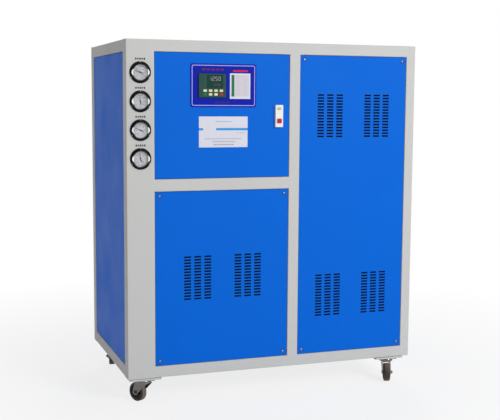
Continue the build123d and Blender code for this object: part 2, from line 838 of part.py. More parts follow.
gland_mouth = gland_base_height + gland_nut_height + gland_dome_height
with BuildPart() as cable_gland:
    with BuildSketch(outlet_face.offset(-gland_tail)):
        with Locations((gland_x, gland_y)):
            Circle(gland_thread_radius)
    extrude(amount=gland_tail + gland_base_height)
    with BuildSketch(outlet_face):
        with Locations((gland_x, gland_y)):
            RegularPolygon(gland_base_radius, 6)
    extrude(amount=gland_base_height)
    with BuildSketch(outlet_face.offset(gland_base_height)):
        with Locations((gland_x, gland_y)):
            RegularPolygon(gland_nut_radius, 6)
    extrude(amount=gland_nut_height)
    with BuildSketch(outlet_face.offset(gland_base_height + gland_nut_height)):
        with Locations((gland_x, gland_y)):
            Circle(gland_dome_radius)
    extrude(amount=gland_dome_height, taper=gland_dome_taper)
    with BuildSketch(outlet_face.offset(gland_mouth)):
        with Locations((gland_x, gland_y)):
            Circle(gland_bore_radius)
    extrude(amount=-gland_bore_length, mode=Mode.SUBTRACT)
finish(cable_gland, "cable_gland")
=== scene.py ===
import json
import math

import bmesh
import bpy
from bpy.props import FloatProperty, FloatVectorProperty, IntProperty, PointerProperty
from mathutils import Matrix, Vector


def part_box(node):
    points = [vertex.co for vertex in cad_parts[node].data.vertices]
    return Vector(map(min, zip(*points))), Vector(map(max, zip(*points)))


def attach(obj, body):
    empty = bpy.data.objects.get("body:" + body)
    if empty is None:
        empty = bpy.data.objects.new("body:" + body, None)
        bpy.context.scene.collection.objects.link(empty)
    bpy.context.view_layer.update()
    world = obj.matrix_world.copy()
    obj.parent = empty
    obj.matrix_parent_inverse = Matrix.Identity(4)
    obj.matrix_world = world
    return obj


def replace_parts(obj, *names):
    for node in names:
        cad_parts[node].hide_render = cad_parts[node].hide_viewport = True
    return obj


bl_info = {
    "name": "Water-cooled chiller",
    "version": (1, 0, 0),
    "blender": (4, 5, 0),
    "location": "3D View > Sidebar > Chiller",
    "description": "Finishes a packaged chiller: painted sheet steel, gauges, controls and castors",
    "category": "Object",
}

MM = 0.001
CABINET = "cabinet"

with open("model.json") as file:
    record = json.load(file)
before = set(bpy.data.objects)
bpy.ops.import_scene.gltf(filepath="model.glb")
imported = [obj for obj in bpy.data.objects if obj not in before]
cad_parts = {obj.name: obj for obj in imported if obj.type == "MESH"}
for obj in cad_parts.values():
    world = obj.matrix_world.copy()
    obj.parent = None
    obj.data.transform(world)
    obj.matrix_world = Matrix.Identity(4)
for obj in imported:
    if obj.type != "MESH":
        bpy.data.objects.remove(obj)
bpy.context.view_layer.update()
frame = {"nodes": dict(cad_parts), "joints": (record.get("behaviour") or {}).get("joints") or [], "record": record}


# Placing things on the cabinet


class Side:
    """A flat side: x runs to the right as seen from outside, y up and z outwards, in metres."""

    def __init__(self, right, up, origin=(0, 0, 0)):
        self.right = Vector(right).normalized()
        self.up = Vector(up).normalized()
        self.out = self.right.cross(self.up)
        self.origin = Vector(origin)

    def at(self, x, y, z=0.0):
        return self.origin + self.right * x + self.up * y + self.out * z

    def span(self, node):
        """A node's left, right, bottom and top on this side, and how far out its face stands."""
        corners = [corner - self.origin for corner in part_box(node)]
        x = sorted(corner.dot(self.right) for corner in corners)
        y = sorted(corner.dot(self.up) for corner in corners)
        z = sorted(corner.dot(self.out) for corner in corners)
        return x[0], x[1], y[0], y[1], z[1]

    def matrix(self, x, y, z=0.0, turn=0.0):
        """Where a flat drawing goes to lie on this side, turned anticlockwise by an angle."""
        axes = Matrix((self.right, self.up, self.out)).transposed().to_4x4()
        return Matrix.Translation(self.at(x, y, z)) @ axes @ Matrix.Rotation(turn, 4, "Z")


FRONT = Side((1, 0, 0), (0, 0, 1))
BACK = Side((-1, 0, 0), (0, 0, 1))
LEFT = Side((0, -1, 0), (0, 0, 1))
RIGHT = Side((0, 1, 0), (0, 0, 1))
ROOF = Side((1, 0, 0), (0, 1, 0))

GAUGES = 4
flange_left, flange_right, gauges_low, gauges_high, bezel_face = FRONT.span("gauge_cases")
GAUGE_RADIUS = (flange_right - flange_left) / 2
GAUGE_X = (flange_left + flange_right) / 2
GAUGE_PITCH = (gauges_high - gauges_low - 2 * GAUGE_RADIUS) / (GAUGES - 1)
gauge_levels = [gauges_low + GAUGE_RADIUS + number * GAUGE_PITCH for number in range(GAUGES)]
POST_FACE = FRONT.span("post_front_left")[4]

castor_joints = {joint["name"]: joint for joint in frame["joints"]}
CASTOR_PLACES = ("front_left", "front_right", "back_left", "back_right")
AXLE = castor_joints["front_left_castor_roll"]["axis"]


# Settings that a user would change


def linear(hex_colour):
    """An sRGB hex colour as the linear colour that a shader takes."""
    channels = [int(hex_colour[start:start + 2], 16) / 255 for start in (1, 3, 5)]
    curve = [c / 12.92 if c <= 0.04045 else ((c + 0.055) / 1.055) ** 2.4 for c in channels]
    return (*curve, 1.0)


def colour(name, description, hex_colour):
    return FloatVectorProperty(
        name=name, description=description, default=linear(hex_colour),
        subtype="COLOR", size=4, min=0.0, max=1.0,
    )


def length(name, description, millimetres):
    return FloatProperty(
        name=name, description=description, default=millimetres * MM,
        subtype="DISTANCE", unit="LENGTH", min=0.0, precision=4,
    )


class ChillerColours(bpy.types.PropertyGroup):
    frame_paint: colour("Frame", "Powder coat on the posts and rails", "#CDCDCB")
    panel_paint: colour("Panels", "Powder coat on the panels", "#0068DA")
    overlay_film: colour("Overlay", "Film behind the controller and its card", "#0019A4")
    overlay_line: colour("Overlay line", "Printed line round the overlay", "#A9A8F2")
    overlay_marks: colour("Overlay marks", "Printed marks over the controller", "#6A0C3A")
    overlay_title: colour("Card heading", "Printed pill over the instruction card", "#C61B3C")
    controller: colour("Controller", "Moulded case of the controller", "#17463F")
    display_window: colour("Display window", "Smoked window over the digits", "#12403A")
    digits: colour("Digits", "Lit segments of the display", "#B39FA5")
    key_cream: colour("Cream keys", "Most of the keys", "#E6DFB2")
    key_green: colour("Green key", "First key of the lower row", "#1F6B45")
    key_red: colour("Red key", "Last key of the lower row", "#B21E1E")
    card: colour("Cards", "White laminated cards", "#DADBE6")
    card_table: colour("Card table", "Grey field of the instruction card", "#D3CFD9")
    card_green: colour("Card bar", "Green bar of the instruction card", "#1D6B4A")
    card_stripe: colour("Card stripe", "Blue stripe of the name card", "#2F9BE4")
    card_ink: colour("Card ink", "Grey rule lines on the cards", "#9C9DB0")
    switch: colour("Switch housing", "White moulding round the push buttons", "#F1F1EF")
    start_button: colour("Start button", "Upper push button", "#C9C7A6")
    stop_button: colour("Stop button", "Lower push button", "#C4201C")
    gauge_enamel: colour("Gauge case", "Stove enamel on the gauge cases", "#030304")
    gauge_dial: colour("Gauge dial", "Printed dial of a gauge", "#CFD0D6")
    gauge_ink: colour("Gauge ink", "Scale, numbers and pointer", "#16171C")
    legend_ink: colour("Legend ink", "Marks over each gauge", "#0E0F16")
    # Zinc is set darker than bright plate, as painted shade for the dark surroundings that the forks reflect.
    zinc: colour("Zinc plate", "Castor forks and plates", "#6E6D6B")
    screw: colour("Screws", "Nickel plate on the screws", "#8D9094")
    tyre: colour("Tyre", "Sides of the castor wheels", "#2E2A28")
    tread: colour("Tread", "Paler tread of the castor wheels", "#6A5F57")
    # Near black as painted shade: the pads make the louvre slots read as the dark inside of the cabinet.
    slot_shade_foam: colour("Filter foam", "Foam behind the louvres", "#0B0C0E")
    brass: colour("Brass", "Water sockets", "#C9A566")
    gland: colour("Cable gland", "Moulded polyamide", "#1A1B1D")
    galvanised: colour("Galvanised sheet", "Base pan", "#B9BDC0")
    floor: colour("Floor", "Pale floor under the cabinet", "#F2F2F2")


class ChillerSizes(bpy.types.PropertyGroup):
    screw_inset: length("Screw inset", "From a panel's corner to its screw, each way", 17.0)
    screw_cup_radius: length("Screw cup", "Radius of the dished cup round a panel screw", 7.0)
    screw_head_radius: length("Screw head", "Radius of a panel screw's head", 4.2)
    orange_peel: length("Orange peel", "Width of one ripple in the powder coat", 2.4)
    print_height: length("Print height", "How far printing stands off its card", 0.12)
    display_height: length("Upper digits", "Height of the display's upper row of digits", 15.0)
    display_low_height: length("Lower digits", "Height of the display's lower row of digits", 8.0)
    dial_number_height: length("Dial numbers", "Height of the numbers on a gauge dial", 4.4)
    thread_pitch: length("Thread pitch", "Pitch of the pipe thread in a water socket", 2.3)
    floor_width: length("Floor", "Width of the floor", 60000.0)
    tread_ribs: IntProperty(
        name="Wheel ribs", description="Stiffening ribs on each side of a castor wheel",
        default=9, min=0, max=24,
    )


class ChillerStage(bpy.types.PropertyGroup):
    focal_length: FloatProperty(
        name="Lens", description="Focal length of the camera", default=70.6,
        min=10.0, max=300.0, subtype="DISTANCE_CAMERA", unit="CAMERA",
    )
    camera_yaw: FloatProperty(
        name="Camera turn", description="How far the camera is turned to the right",
        default=math.radians(19.541), subtype="ANGLE", unit="ROTATION",
    )
    camera_pitch: FloatProperty(
        name="Camera tilt", description="How far the camera looks up",
        default=math.radians(-6.35), subtype="ANGLE", unit="ROTATION",
    )
    camera_roll: FloatProperty(
        name="Camera roll", description="How far the camera leans",
        default=math.radians(0.362), subtype="ANGLE", unit="ROTATION",
    )
    camera_place: FloatVectorProperty(
        name="Camera place", description="Where the camera stands",
        default=(-1.3994, -3.9755, 1.177), subtype="TRANSLATION", unit="LENGTH",
    )
    key_power: FloatProperty(
        name="Key light", description="Power of the large lamp at the front right",
        default=400.0, min=0.0, subtype="POWER", unit="POWER",
    )
    fill_power: FloatProperty(
        name="Fill light", description="Power of the lamp behind the cabinet",
        default=220.0, min=0.0, subtype="POWER", unit="POWER",
    )
    room_level: FloatProperty(
        name="Room light", description="Even light from all round", default=0.34, min=0.0, max=2.0,
    )


# Materials

def add(tree, kind, inputs=None, **settings):
    """Adds one node with its settings, and sets or links its inputs."""
    node = tree.nodes.new(kind)
    for name, value in settings.items():
        setattr(node, name, value)
    for name, value in (inputs or {}).items():
        socket = next(s for s in node.inputs if name in (s.name, s.identifier))
        if isinstance(value, bpy.types.NodeSocket):
            tree.links.new(value, socket)
        else:
            socket.default_value = value
    return node


# The socket where a Mix node gives out its colour
MIXED_COLOUR = 2


def per(size):
    """The scale of a pattern whose features are this many millimetres wide."""
    return 1000.0 / size


def begin(name):
    """A new material with no nodes but the object's own coordinates."""
    material = bpy.data.materials.new(name)
    material.use_nodes = True
    tree = material.node_tree
    tree.nodes.clear()
    place = add(tree, "ShaderNodeTexCoord").outputs["Object"]
    return material, tree, place


def end(tree, inputs):
    """Closes a material with one surface shader."""
    shader = add(tree, "ShaderNodeBsdfPrincipled", inputs)
    add(tree, "ShaderNodeOutputMaterial", {"Surface": shader.outputs["BSDF"]})


def shade(base, factor):
    """A colour made darker or lighter by a factor, up to white."""
    return (*[min(1.0, channel * factor) for channel in base[:3]], 1.0)


def drift(tree, place, base, spread, size, detail=2.0):
    """A colour that drifts a little lighter and darker over blotches of some millimetres."""
    cloud = add(tree, "ShaderNodeTexNoise", {"Vector": place, "Scale": per(size), "Detail": detail})
    mix = add(tree, "ShaderNodeMix", {
        "Factor_Float": cloud.outputs["Fac"],
        "A_Color": shade(base, 1.0 - spread), "B_Color": shade(base, 1.0 + spread),
    }, data_type="RGBA")
    return mix.outputs[MIXED_COLOUR]


def patchy(tree, place, low, high, size, detail=2.0):
    """A number that varies between two others over patches of some millimetres."""
    cloud = add(tree, "ShaderNodeTexNoise", {"Vector": place, "Scale": per(size), "Detail": detail})
    spread = add(tree, "ShaderNodeMapRange", {
        "Value": cloud.outputs["Fac"], "From Min": 0.3, "From Max": 0.7, "To Min": low, "To Max": high,
    })
    return spread.outputs["Result"]


def relief(tree, place, size, depth, strength=0.3, detail=1.0):
    """A surface that rises and falls by some hundredths of a millimetre."""
    grain = add(tree, "ShaderNodeTexNoise", {"Vector": place, "Scale": per(size), "Detail": detail})
    bump = add(tree, "ShaderNodeBump", {
        "Height": grain.outputs["Fac"], "Strength": strength, "Distance": depth * MM,
    })
    return bump.outputs["Normal"]


def edge_wear_and_highlight(tree, surface, edge, radius, amount):
    """A colour that turns to another within a few tenths of a millimetre of an edge: a painted highlight along the
    edges, which on some finishes also stands for wear there.
    """
    soft = add(tree, "ShaderNodeBevel", {"Radius": radius * MM}, samples=4)
    flat = add(tree, "ShaderNodeNewGeometry")
    facing = add(tree, "ShaderNodeVectorMath", {
        "Vector": soft.outputs["Normal"], "Vector_001": flat.outputs["Normal"],
    }, operation="DOT_PRODUCT")
    rim = add(tree, "ShaderNodeMapRange", {
        "Value": facing.outputs["Value"],
        "From Min": 0.98, "From Max": 0.75, "To Min": 0.0, "To Max": amount,
    })
    mix = add(tree, "ShaderNodeMix", {
        "Factor_Float": rim.outputs["Result"], "A_Color": surface, "B_Color": edge,
    }, data_type="RGBA")
    return mix.outputs[MIXED_COLOUR]


def powder_coat(name, base, ripple):
    """Polyester powder, sprayed on sheet steel and baked: a satin skin with a fine orange peel.
    Its fold edges are painted lighter: a painted highlight, and in part a thinner coat there."""
    material, tree, place = begin(name)
    end(tree, {
        "Base Color": edge_wear_and_highlight(tree, drift(tree, place, base, 0.03, 240), shade(base, 1.3), 0.8, 0.5),
        "Roughness": patchy(tree, place, 0.46, 0.56, 160, 3.0),
        "Specular IOR Level": 0.08,
        "Normal": relief(tree, place, ripple / MM, 0.05, 0.25),
    })
    return material


def galvanised_sheet(name, base):
    """Steel sheet dipped in molten zinc, which freezes in spangles that each catch the light."""
    material, tree, place = begin(name)
    spangle = add(tree, "ShaderNodeTexVoronoi", {"Vector": place, "Scale": per(14)})
    tint = add(tree, "ShaderNodeSeparateColor", {"Color": spangle.outputs["Color"]})
    mix = add(tree, "ShaderNodeMix", {
        "Factor_Float": tint.outputs["Red"], "A_Color": shade(base, 0.75), "B_Color": shade(base, 1.12),
    }, data_type="RGBA")
    dull = add(tree, "ShaderNodeMapRange", {"Value": tint.outputs["Green"], "To Min": 0.34, "To Max": 0.5})
    end(tree, {
        "Base Color": mix.outputs[MIXED_COLOUR], "Metallic": 1.0, "Roughness": dull.outputs["Result"],
    })
    return material


def zinc_plate(name, base):
    """Zinc on pressed steel, set dark grey as painted shade for the dark surroundings it reflects, with edges painted
    brighter as a highlight, in part for rubbing.
    """
    material, tree, place = begin(name)
    end(tree, {
        "Base Color": edge_wear_and_highlight(tree, drift(tree, place, base, 0.22, 12, 4.0), shade(base, 3.2), 0.7, 0.8),
        "Metallic": 1.0,
        "Roughness": patchy(tree, place, 0.22, 0.4, 9, 4.0),
        "Normal": relief(tree, place, 0.8, 0.03, 0.3, 2.0),
    })
    return material


def stove_enamel(name, base):
    """Black enamel baked on a pressed case: deep and glossy, with a soft ripple."""
    material, tree, place = begin(name)
    end(tree, {
        "Base Color": drift(tree, place, base, 0.2, 20),
        "Roughness": patchy(tree, place, 0.16, 0.24, 3),
        "Specular IOR Level": 0.12,
        "Normal": relief(tree, place, 3, 0.04, 0.2),
    })
    return material


def lacquered_dial(name, base):
    """Aluminium sheet, lacquered white: flat and satin, a little yellower in blotches."""
    material, tree, place = begin(name)
    end(tree, {
        "Base Color": drift(tree, place, base, 0.04, 18),
        "Roughness": patchy(tree, place, 0.38, 0.5, 6, 3.0),
    })
    return material


def printing_ink(name, base):
    """Screen-printed ink: an even, slightly matt film with a faint mesh mottle."""
    material, tree, place = begin(name)
    end(tree, {
        "Base Color": drift(tree, place, base, 0.06, 1.4),
        "Roughness": patchy(tree, place, 0.45, 0.58, 0.7),
        "Specular IOR Level": 0.25,
    })
    return material


def printed_film(name, base):
    """Polyester film printed from behind: a smooth sheen over a deep, even colour."""
    material, tree, place = begin(name)
    end(tree, {
        "Base Color": drift(tree, place, base, 0.06, 60),
        "Roughness": patchy(tree, place, 0.34, 0.42, 1.2),
        "Specular IOR Level": 0.1,
        "Normal": relief(tree, place, 1.2, 0.02, 0.15),
    })
    return material


def laminated_card(name, base):
    """White card sealed in clear film: bright, with a low sheen and a faint waviness."""
    material, tree, place = begin(name)
    end(tree, {
        "Base Color": drift(tree, place, base, 0.03, 40),
        "Roughness": patchy(tree, place, 0.3, 0.4, 30),
        "Normal": relief(tree, place, 30, 0.3),
    })
    return material


def moulded_plastic(name, base, roughness, texture=0.9):
    """Injection-moulded ABS or polyamide, whose spark-eroded tool leaves a fine matt grain; its edges are painted
    lighter as a highlight.
    """
    material, tree, place = begin(name)
    end(tree, {
        "Base Color": edge_wear_and_highlight(tree, drift(tree, place, base, 0.05, 15), shade(base, 1.25), 0.4, 0.35),
        "Roughness": patchy(tree, place, roughness - 0.04, roughness + 0.06, texture),
        "Specular IOR Level": 0.2,
        "Normal": relief(tree, place, texture, 0.04, 0.3, 2.0),
    })
    return material


def silicone_rubber(name, base):
    """Moulded silicone: soft and matt, and light passes a little way into it."""
    material, tree, place = begin(name)
    end(tree, {
        "Base Color": drift(tree, place, base, 0.04, 4),
        "Roughness": patchy(tree, place, 0.5, 0.62, 2),
        "Subsurface Weight": 0.08, "Subsurface Scale": 1.0 * MM, "IOR": 1.41,
    })
    return material


def cured_rubber(name, base, tread, axle):
    """Cured rubber: dark on its sides, and paler on the faces that roll."""
    material, tree, place = begin(name)
    sideways = add(tree, "ShaderNodeVectorMath", {
        "Vector": place.node.outputs["Normal"], "Vector_001": axle,
    }, operation="DOT_PRODUCT")
    turned_away = add(tree, "ShaderNodeMath", {"Value": sideways.outputs["Value"]}, operation="ABSOLUTE")
    rolling = add(tree, "ShaderNodeMapRange", {
        "Value": turned_away.outputs["Value"], "From Min": 0.85, "From Max": 0.3,
    })
    mix = add(tree, "ShaderNodeMix", {
        "Factor_Float": rolling.outputs["Result"],
        "A_Color": drift(tree, place, base, 0.2, 7, 5.0), "B_Color": drift(tree, place, tread, 0.35, 7, 5.0),
    }, data_type="RGBA")
    end(tree, {
        "Base Color": mix.outputs[MIXED_COLOUR],
        "Roughness": patchy(tree, place, 0.5, 0.7, 7, 5.0),
        "Specular IOR Level": 0.3,
        "Normal": relief(tree, place, 1.1, 0.12, 0.5, 3.0),
    })
    return material


def slot_shade_foam(name, base):
    """Open-cell foam behind the louvres: black as painted shade for the inside of the cabinet, and rough enough to
    swallow the light.
    """
    material, tree, place = begin(name)
    end(tree, {
        "Base Color": drift(tree, place, base, 0.4, 2.5, 4.0),
        "Roughness": patchy(tree, place, 0.85, 0.98, 2.5),
        "Specular IOR Level": 0.1,
        "Normal": relief(tree, place, 1.8, 0.6, 0.8, 3.0),
    })
    return material


def turned_brass(name, base):
    """Brass turned from bar: warm and bright, tarnished in blotches, with a fine tool mark, and edges painted lighter
    as a highlight.
    """
    material, tree, place = begin(name)
    end(tree, {
        "Base Color": edge_wear_and_highlight(tree, drift(tree, place, base, 0.14, 16, 4.0), shade(base, 1.3), 0.6, 0.6),
        "Metallic": 1.0,
        "Roughness": patchy(tree, place, 0.22, 0.34, 0.9),
        "Normal": relief(tree, place, 0.9, 0.03, 0.25, 2.0),
    })
    return material


def nickel_plate(name, base, roughness):
    """Nickel over turned steel: a bright, slightly warm mirror with a hairline grain."""
    material, tree, place = begin(name)
    end(tree, {
        "Base Color": drift(tree, place, base, 0.08, 5), "Metallic": 1.0,
        "Roughness": patchy(tree, place, roughness, roughness + 0.1, 0.6),
    })
    return material


def float_glass(name):
    """A flat gauge window: clear, with a faint wipe of haze."""
    material, tree, place = begin(name)
    end(tree, {
        "Base Color": (1.0, 1.0, 1.0, 1.0), "Transmission Weight": 1.0, "IOR": 1.5,
        "Roughness": patchy(tree, place, 0.0, 0.02, 25),
    })
    return material


def lit_segments(name, base, strength):
    """Light-emitting diodes behind a diffuser: they glow evenly, a little paler mid-bar."""
    material, tree, place = begin(name)
    glow = drift(tree, place, base, 0.05, 3)
    end(tree, {"Base Color": glow, "Roughness": 0.5, "Emission Color": glow, "Emission Strength": strength})
    return material


def smoked_window(name, base):
    """Tinted acrylic over the digits: dark and glossy, with a faint wipe of haze."""
    material, tree, place = begin(name)
    end(tree, {
        "Base Color": drift(tree, place, base, 0.1, 25),
        "Roughness": patchy(tree, place, 0.14, 0.22, 20), "Specular IOR Level": 0.12,
    })
    return material


def paint_nodes(material, *nodes):
    """Gives CAD nodes a material."""
    for name in nodes:
        slots = frame["nodes"][name].data.materials
        slots.clear()
        slots.append(material)


def nodes_of(slot):
    """The CAD nodes that the record gives a material slot."""
    return [row["node"] for row in frame["record"]["subparts"] if row["material_slot"] == slot]


# Shapes


def piece(name, shape, material, body, smooth=35.0):
    """Makes a named piece of a filled bmesh, which rides on a body and takes a slot's finish."""
    mesh = bpy.data.meshes.new(name)
    shape.to_mesh(mesh)
    shape.free()
    mesh.materials.append(material)
    mesh.shade_smooth()
    mesh.set_sharp_from_angle(angle=math.radians(smooth))
    thing = bpy.data.objects.new(name, mesh)
    bpy.context.scene.collection.objects.link(thing)
    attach(thing, body)
    return thing


def prism(shape, side, outline, low, high):
    """Adds a flat shape on a side, from its anticlockwise outline, between two heights."""
    bottom = [shape.verts.new(side.at(x, y, low)) for x, y in outline]
    top = [shape.verts.new(side.at(x, y, high)) for x, y in outline]
    shape.faces.new(reversed(bottom))
    shape.faces.new(top)
    for here in range(len(outline)):
        there = (here + 1) % len(outline)
        shape.faces.new((bottom[here], bottom[there], top[there], top[here]))


def strip(shape, rows):
    """Adds one solid through a row of cross sections with as many corners, closed at both ends."""
    rings = [[shape.verts.new(corner) for corner in row] for row in rows]
    faces = [shape.faces.new(rings[0]), shape.faces.new(rings[-1])]
    for ring, following in zip(rings, rings[1:]):
        for here in range(len(ring)):
            there = (here + 1) % len(ring)
            faces.append(shape.faces.new((ring[here], ring[there], following[there], following[here])))
    bmesh.ops.recalc_face_normals(shape, faces=faces)


def band(shape, side, outer, inner, low, high):
    """Adds a flat ring on a side, between an outer and an inner outline of as many points."""
    rows = [
        [shape.verts.new(side.at(x, y, z)) for x, y in outline]
        for outline, z in ((outer, low), (outer, high), (inner, high), (inner, low))
    ]
    count = len(outer)
    for row, following in zip(rows, rows[1:] + rows[:1]):
        for here in range(count):
            there = (here + 1) % count
            shape.faces.new((row[here], row[there], following[there], following[here]))


def turned(shape, side, x, y, profile, steps=32, closed=False):
    """Adds a turned form that stands on a side: profile points are radii and heights, bottom first."""
    rows = []
    for radius, z in profile:
        if radius < 1e-7:
            rows.append([shape.verts.new(side.at(x, y, z))])
        else:
            angles = [2 * math.pi * step / steps for step in range(steps)]
            rows.append([
                shape.verts.new(side.at(x + radius * math.cos(a), y + radius * math.sin(a), z))
                for a in angles
            ])
    pairs = list(zip(rows, rows[1:]))
    if closed:
        pairs.append((rows[-1], rows[0]))
    for low, high in pairs:
        for here in range(steps):
            there = (here + 1) % steps
            corners = [low[here % len(low)], low[there % len(low)]]
            corners += [high[there % len(high)], high[here % len(high)]]
            distinct = list(dict.fromkeys(corners))
            if len(distinct) > 2:
                shape.faces.new(distinct)


def rectangle(x, y, width, height):
    """An outline from its low left corner."""
    return [(x, y), (x + width, y), (x + width, y + height), (x, y + height)]


def rounded(x, y, width, height, radius, steps=5):
    """A rectangle with round corners, from its low left corner."""
    points = []
    centres = (
        (x + width - radius, y + radius, -90), (x + width - radius, y + height - radius, 0),
        (x + radius, y + height - radius, 90), (x + radius, y + radius, 180),
    )
    for centre_x, centre_y, start in centres:
        for step in range(steps + 1):
            angle = math.radians(start + 90 * step / steps)
            points.append((centre_x + radius * math.cos(angle), centre_y + radius * math.sin(angle)))
    return points


def screw_head(shape, side, x, y, z, radius, rise):
    """Adds a pan-head screw with a cross recess, its crown made of low steps."""
    profile = [(0.0, z), (radius, z), (radius, z + 0.45 * rise), (0.82 * radius, z + 0.85 * rise),
               (0.5 * radius, z + rise), (0.0, z + rise)]
    turned(shape, side, x, y, profile, 20)


def cross_slot(shape, side, x, y, z, radius, depth):
    """Adds the dark cross of a screw's recess, as a thin inset on its crown."""
    arm = 0.6 * radius
    half = 0.14 * radius
    outline = [
        (half, half), (half, arm), (-half, arm), (-half, half), (-arm, half), (-arm, -half),
        (-half, -half), (-half, -arm), (half, -arm), (half, -half), (arm, -half), (arm, half),
    ]
    prism(shape, side, [(x + dx, y + dy) for dx, dy in outline], z, z + depth)


# Operators


# How the cabinet's sheet metal is laid out: where rails are welded on, and where panels are slotted
WELD_WIDTH = 3.0 * MM
RAIL_HEIGHTS = {"top": 45.0 * MM, "mid": 47.0 * MM, "bottom": 44.0 * MM}
FRONT_TURNED = Side(FRONT.up, -FRONT.right)
BACK_TURNED = Side(BACK.up, -BACK.right)
WELDED = {
    "top_rail_front": (FRONT,), "mid_rail_front": (FRONT,), "bottom_rail_front": (FRONT,),
    "top_rail_back": (BACK,), "mid_rail_back": (BACK,), "bottom_rail_back": (BACK,),
    "top_rail_left": (LEFT,), "bottom_rail_left": (LEFT,),
    "top_rail_right": (RIGHT,), "bottom_rail_right": (RIGHT,),
    "mid_post_front": (FRONT, FRONT_TURNED), "mid_post_back": (BACK, BACK_TURNED),
}
PANEL_SHEET = 1.5 * MM
LOUVRE_INSET = 238.5 * MM
LOUVRE_SPACING = 207.0 * MM
LOUVRES = {
    "lower_left_panel": (FRONT, ("mid",)), "right_panel": (FRONT, ("low", "high")),
    "back_tall_panel": (BACK, ("high",)),
}


class CHILLER_OT_sheet_metal(bpy.types.Operator):
    """Gives the posts, rails, panels and base pan their paint and zinc"""

    bl_idname = "chiller.sheet_metal"
    bl_label = "Sheet metal"

    def execute(self, context):
        colours = context.scene.chiller_colours
        ripple = context.scene.chiller_sizes.orange_peel
        frame_coat = powder_coat("powder_coat_light_grey", colours.frame_paint, ripple)
        panel_coat = powder_coat("powder_coat_blue", colours.panel_paint, ripple)
        paint_nodes(frame_coat, *nodes_of("frame_paint"))
        paint_nodes(panel_coat, *nodes_of("panel_paint"))
        paint_nodes(galvanised_sheet("galvanised_sheet", colours.galvanised), *nodes_of("galvanised"))
        welds = bmesh.new()
        for name, sides in WELDED.items():
            side = sides[0]
            left, right, low, high, face = side.span(name)
            if name.startswith("mid_post"):
                self.weld(welds, sides[1], face, (high, high + WELD_WIDTH), (-right, -left))
                self.weld(welds, sides[1], face, (low - WELD_WIDTH, low), (-right, -left))
            else:
                seen = RAIL_HEIGHTS[name.split("_")[0]]
                floor, top = (low, low + seen) if name.startswith("bottom") else (high - seen, high)
                if name.startswith("mid"):
                    middle = (low + high) / 2
                    floor, top = middle - seen / 2, middle + seen / 2
                self.weld(welds, side, face, (left - WELD_WIDTH, left), (floor, top))
                self.weld(welds, side, face, (right, right + WELD_WIDTH), (floor, top))
        piece("frame_welds", welds, frame_coat, CABINET)
        return {"FINISHED"}

    def weld(self, shape, side, face, span, width):
        """Fills the groove where a rail butts on a post's round edge, ground flush and painted."""
        low, high = width
        corner = 0.9 * MM
        profile = [
            (low, -WELD_WIDTH), (low + corner, -corner), (low + WELD_WIDTH, 0),
            (high - WELD_WIDTH, 0), (high - corner, -corner), (high, -WELD_WIDTH),
        ]
        strip(shape, [[side.at(x, y, face + z) for y, z in profile] for x in span])


class CHILLER_OT_louvre_shade_pads(bpy.types.Operator):
    """Puts a black foam pad with a dimpled face behind each group of louvres: its black is painted shade for the dark
    inside seen through the slots
    """

    bl_idname = "chiller.louvre_filters"
    bl_label = "Louvre shade pads"

    def execute(self, context):
        foam = slot_shade_foam("black_foam_painted_shade", context.scene.chiller_colours.slot_shade_foam)
        for node, (side, levels) in LOUVRES.items():
            left, right, low, high, face = side.span(node)
            pads = bmesh.new()
            for level in levels:
                y = {"low": low + LOUVRE_INSET, "mid": (low + high) / 2, "high": high - LOUVRE_INSET}[level]
                for x in (-LOUVRE_SPACING / 2, LOUVRE_SPACING / 2):
                    self.pad(pads, side, (left + right) / 2 + x, y, face - PANEL_SHEET)
            piece(f"{node}_filters", pads, foam, CABINET)
        return {"FINISHED"}

    def pad(self, shape, side, x, y, back_of_sheet):
        """Adds one pad: a grid whose points rise and fall by turns, so it is dimpled like the foam."""
        cell = 6.0 * MM
        columns, rows = 20, 30
        gap, dimple, thickness = 1.0 * MM, 1.6 * MM, 7.0 * MM
        grid = []
        for row in range(rows + 1):
            line = []
            for column in range(columns + 1):
                place = (x + (column - columns / 2) * cell, y + (row - rows / 2) * cell)
                depth = gap + dimple * ((row + column) % 2)
                line.append((side.at(*place, back_of_sheet - depth), side.at(*place, back_of_sheet - thickness)))
            grid.append(line)
        for layer in (0, 1):
            points = [[shape.verts.new(pair[layer]) for pair in line] for line in grid]
            for row in range(rows):
                for column in range(columns):
                    corners = [
                        points[row][column], points[row][column + 1],
                        points[row + 1][column + 1], points[row + 1][column],
                    ]
                    shape.faces.new(corners if layer == 0 else reversed(corners))
            rim = points[0] + [line[-1] for line in points[1:]]
            rim += points[-1][-2::-1] + [line[0] for line in points[-2:0:-1]]
            if layer == 0:
                front_rim = rim
        for here in range(len(rim)):
            there = (here + 1) % len(rim)
            shape.faces.new((rim[here], rim[there], front_rim[there], front_rim[here]))


PANEL_SCREWS = {
    "lower_left_panel": FRONT, "right_panel": FRONT,
    "back_tall_panel": BACK, "back_upper_panel": BACK, "back_lower_panel": BACK,
    "left_side_panel": LEFT, "right_side_panel": RIGHT, "roof_panel": ROOF,
}


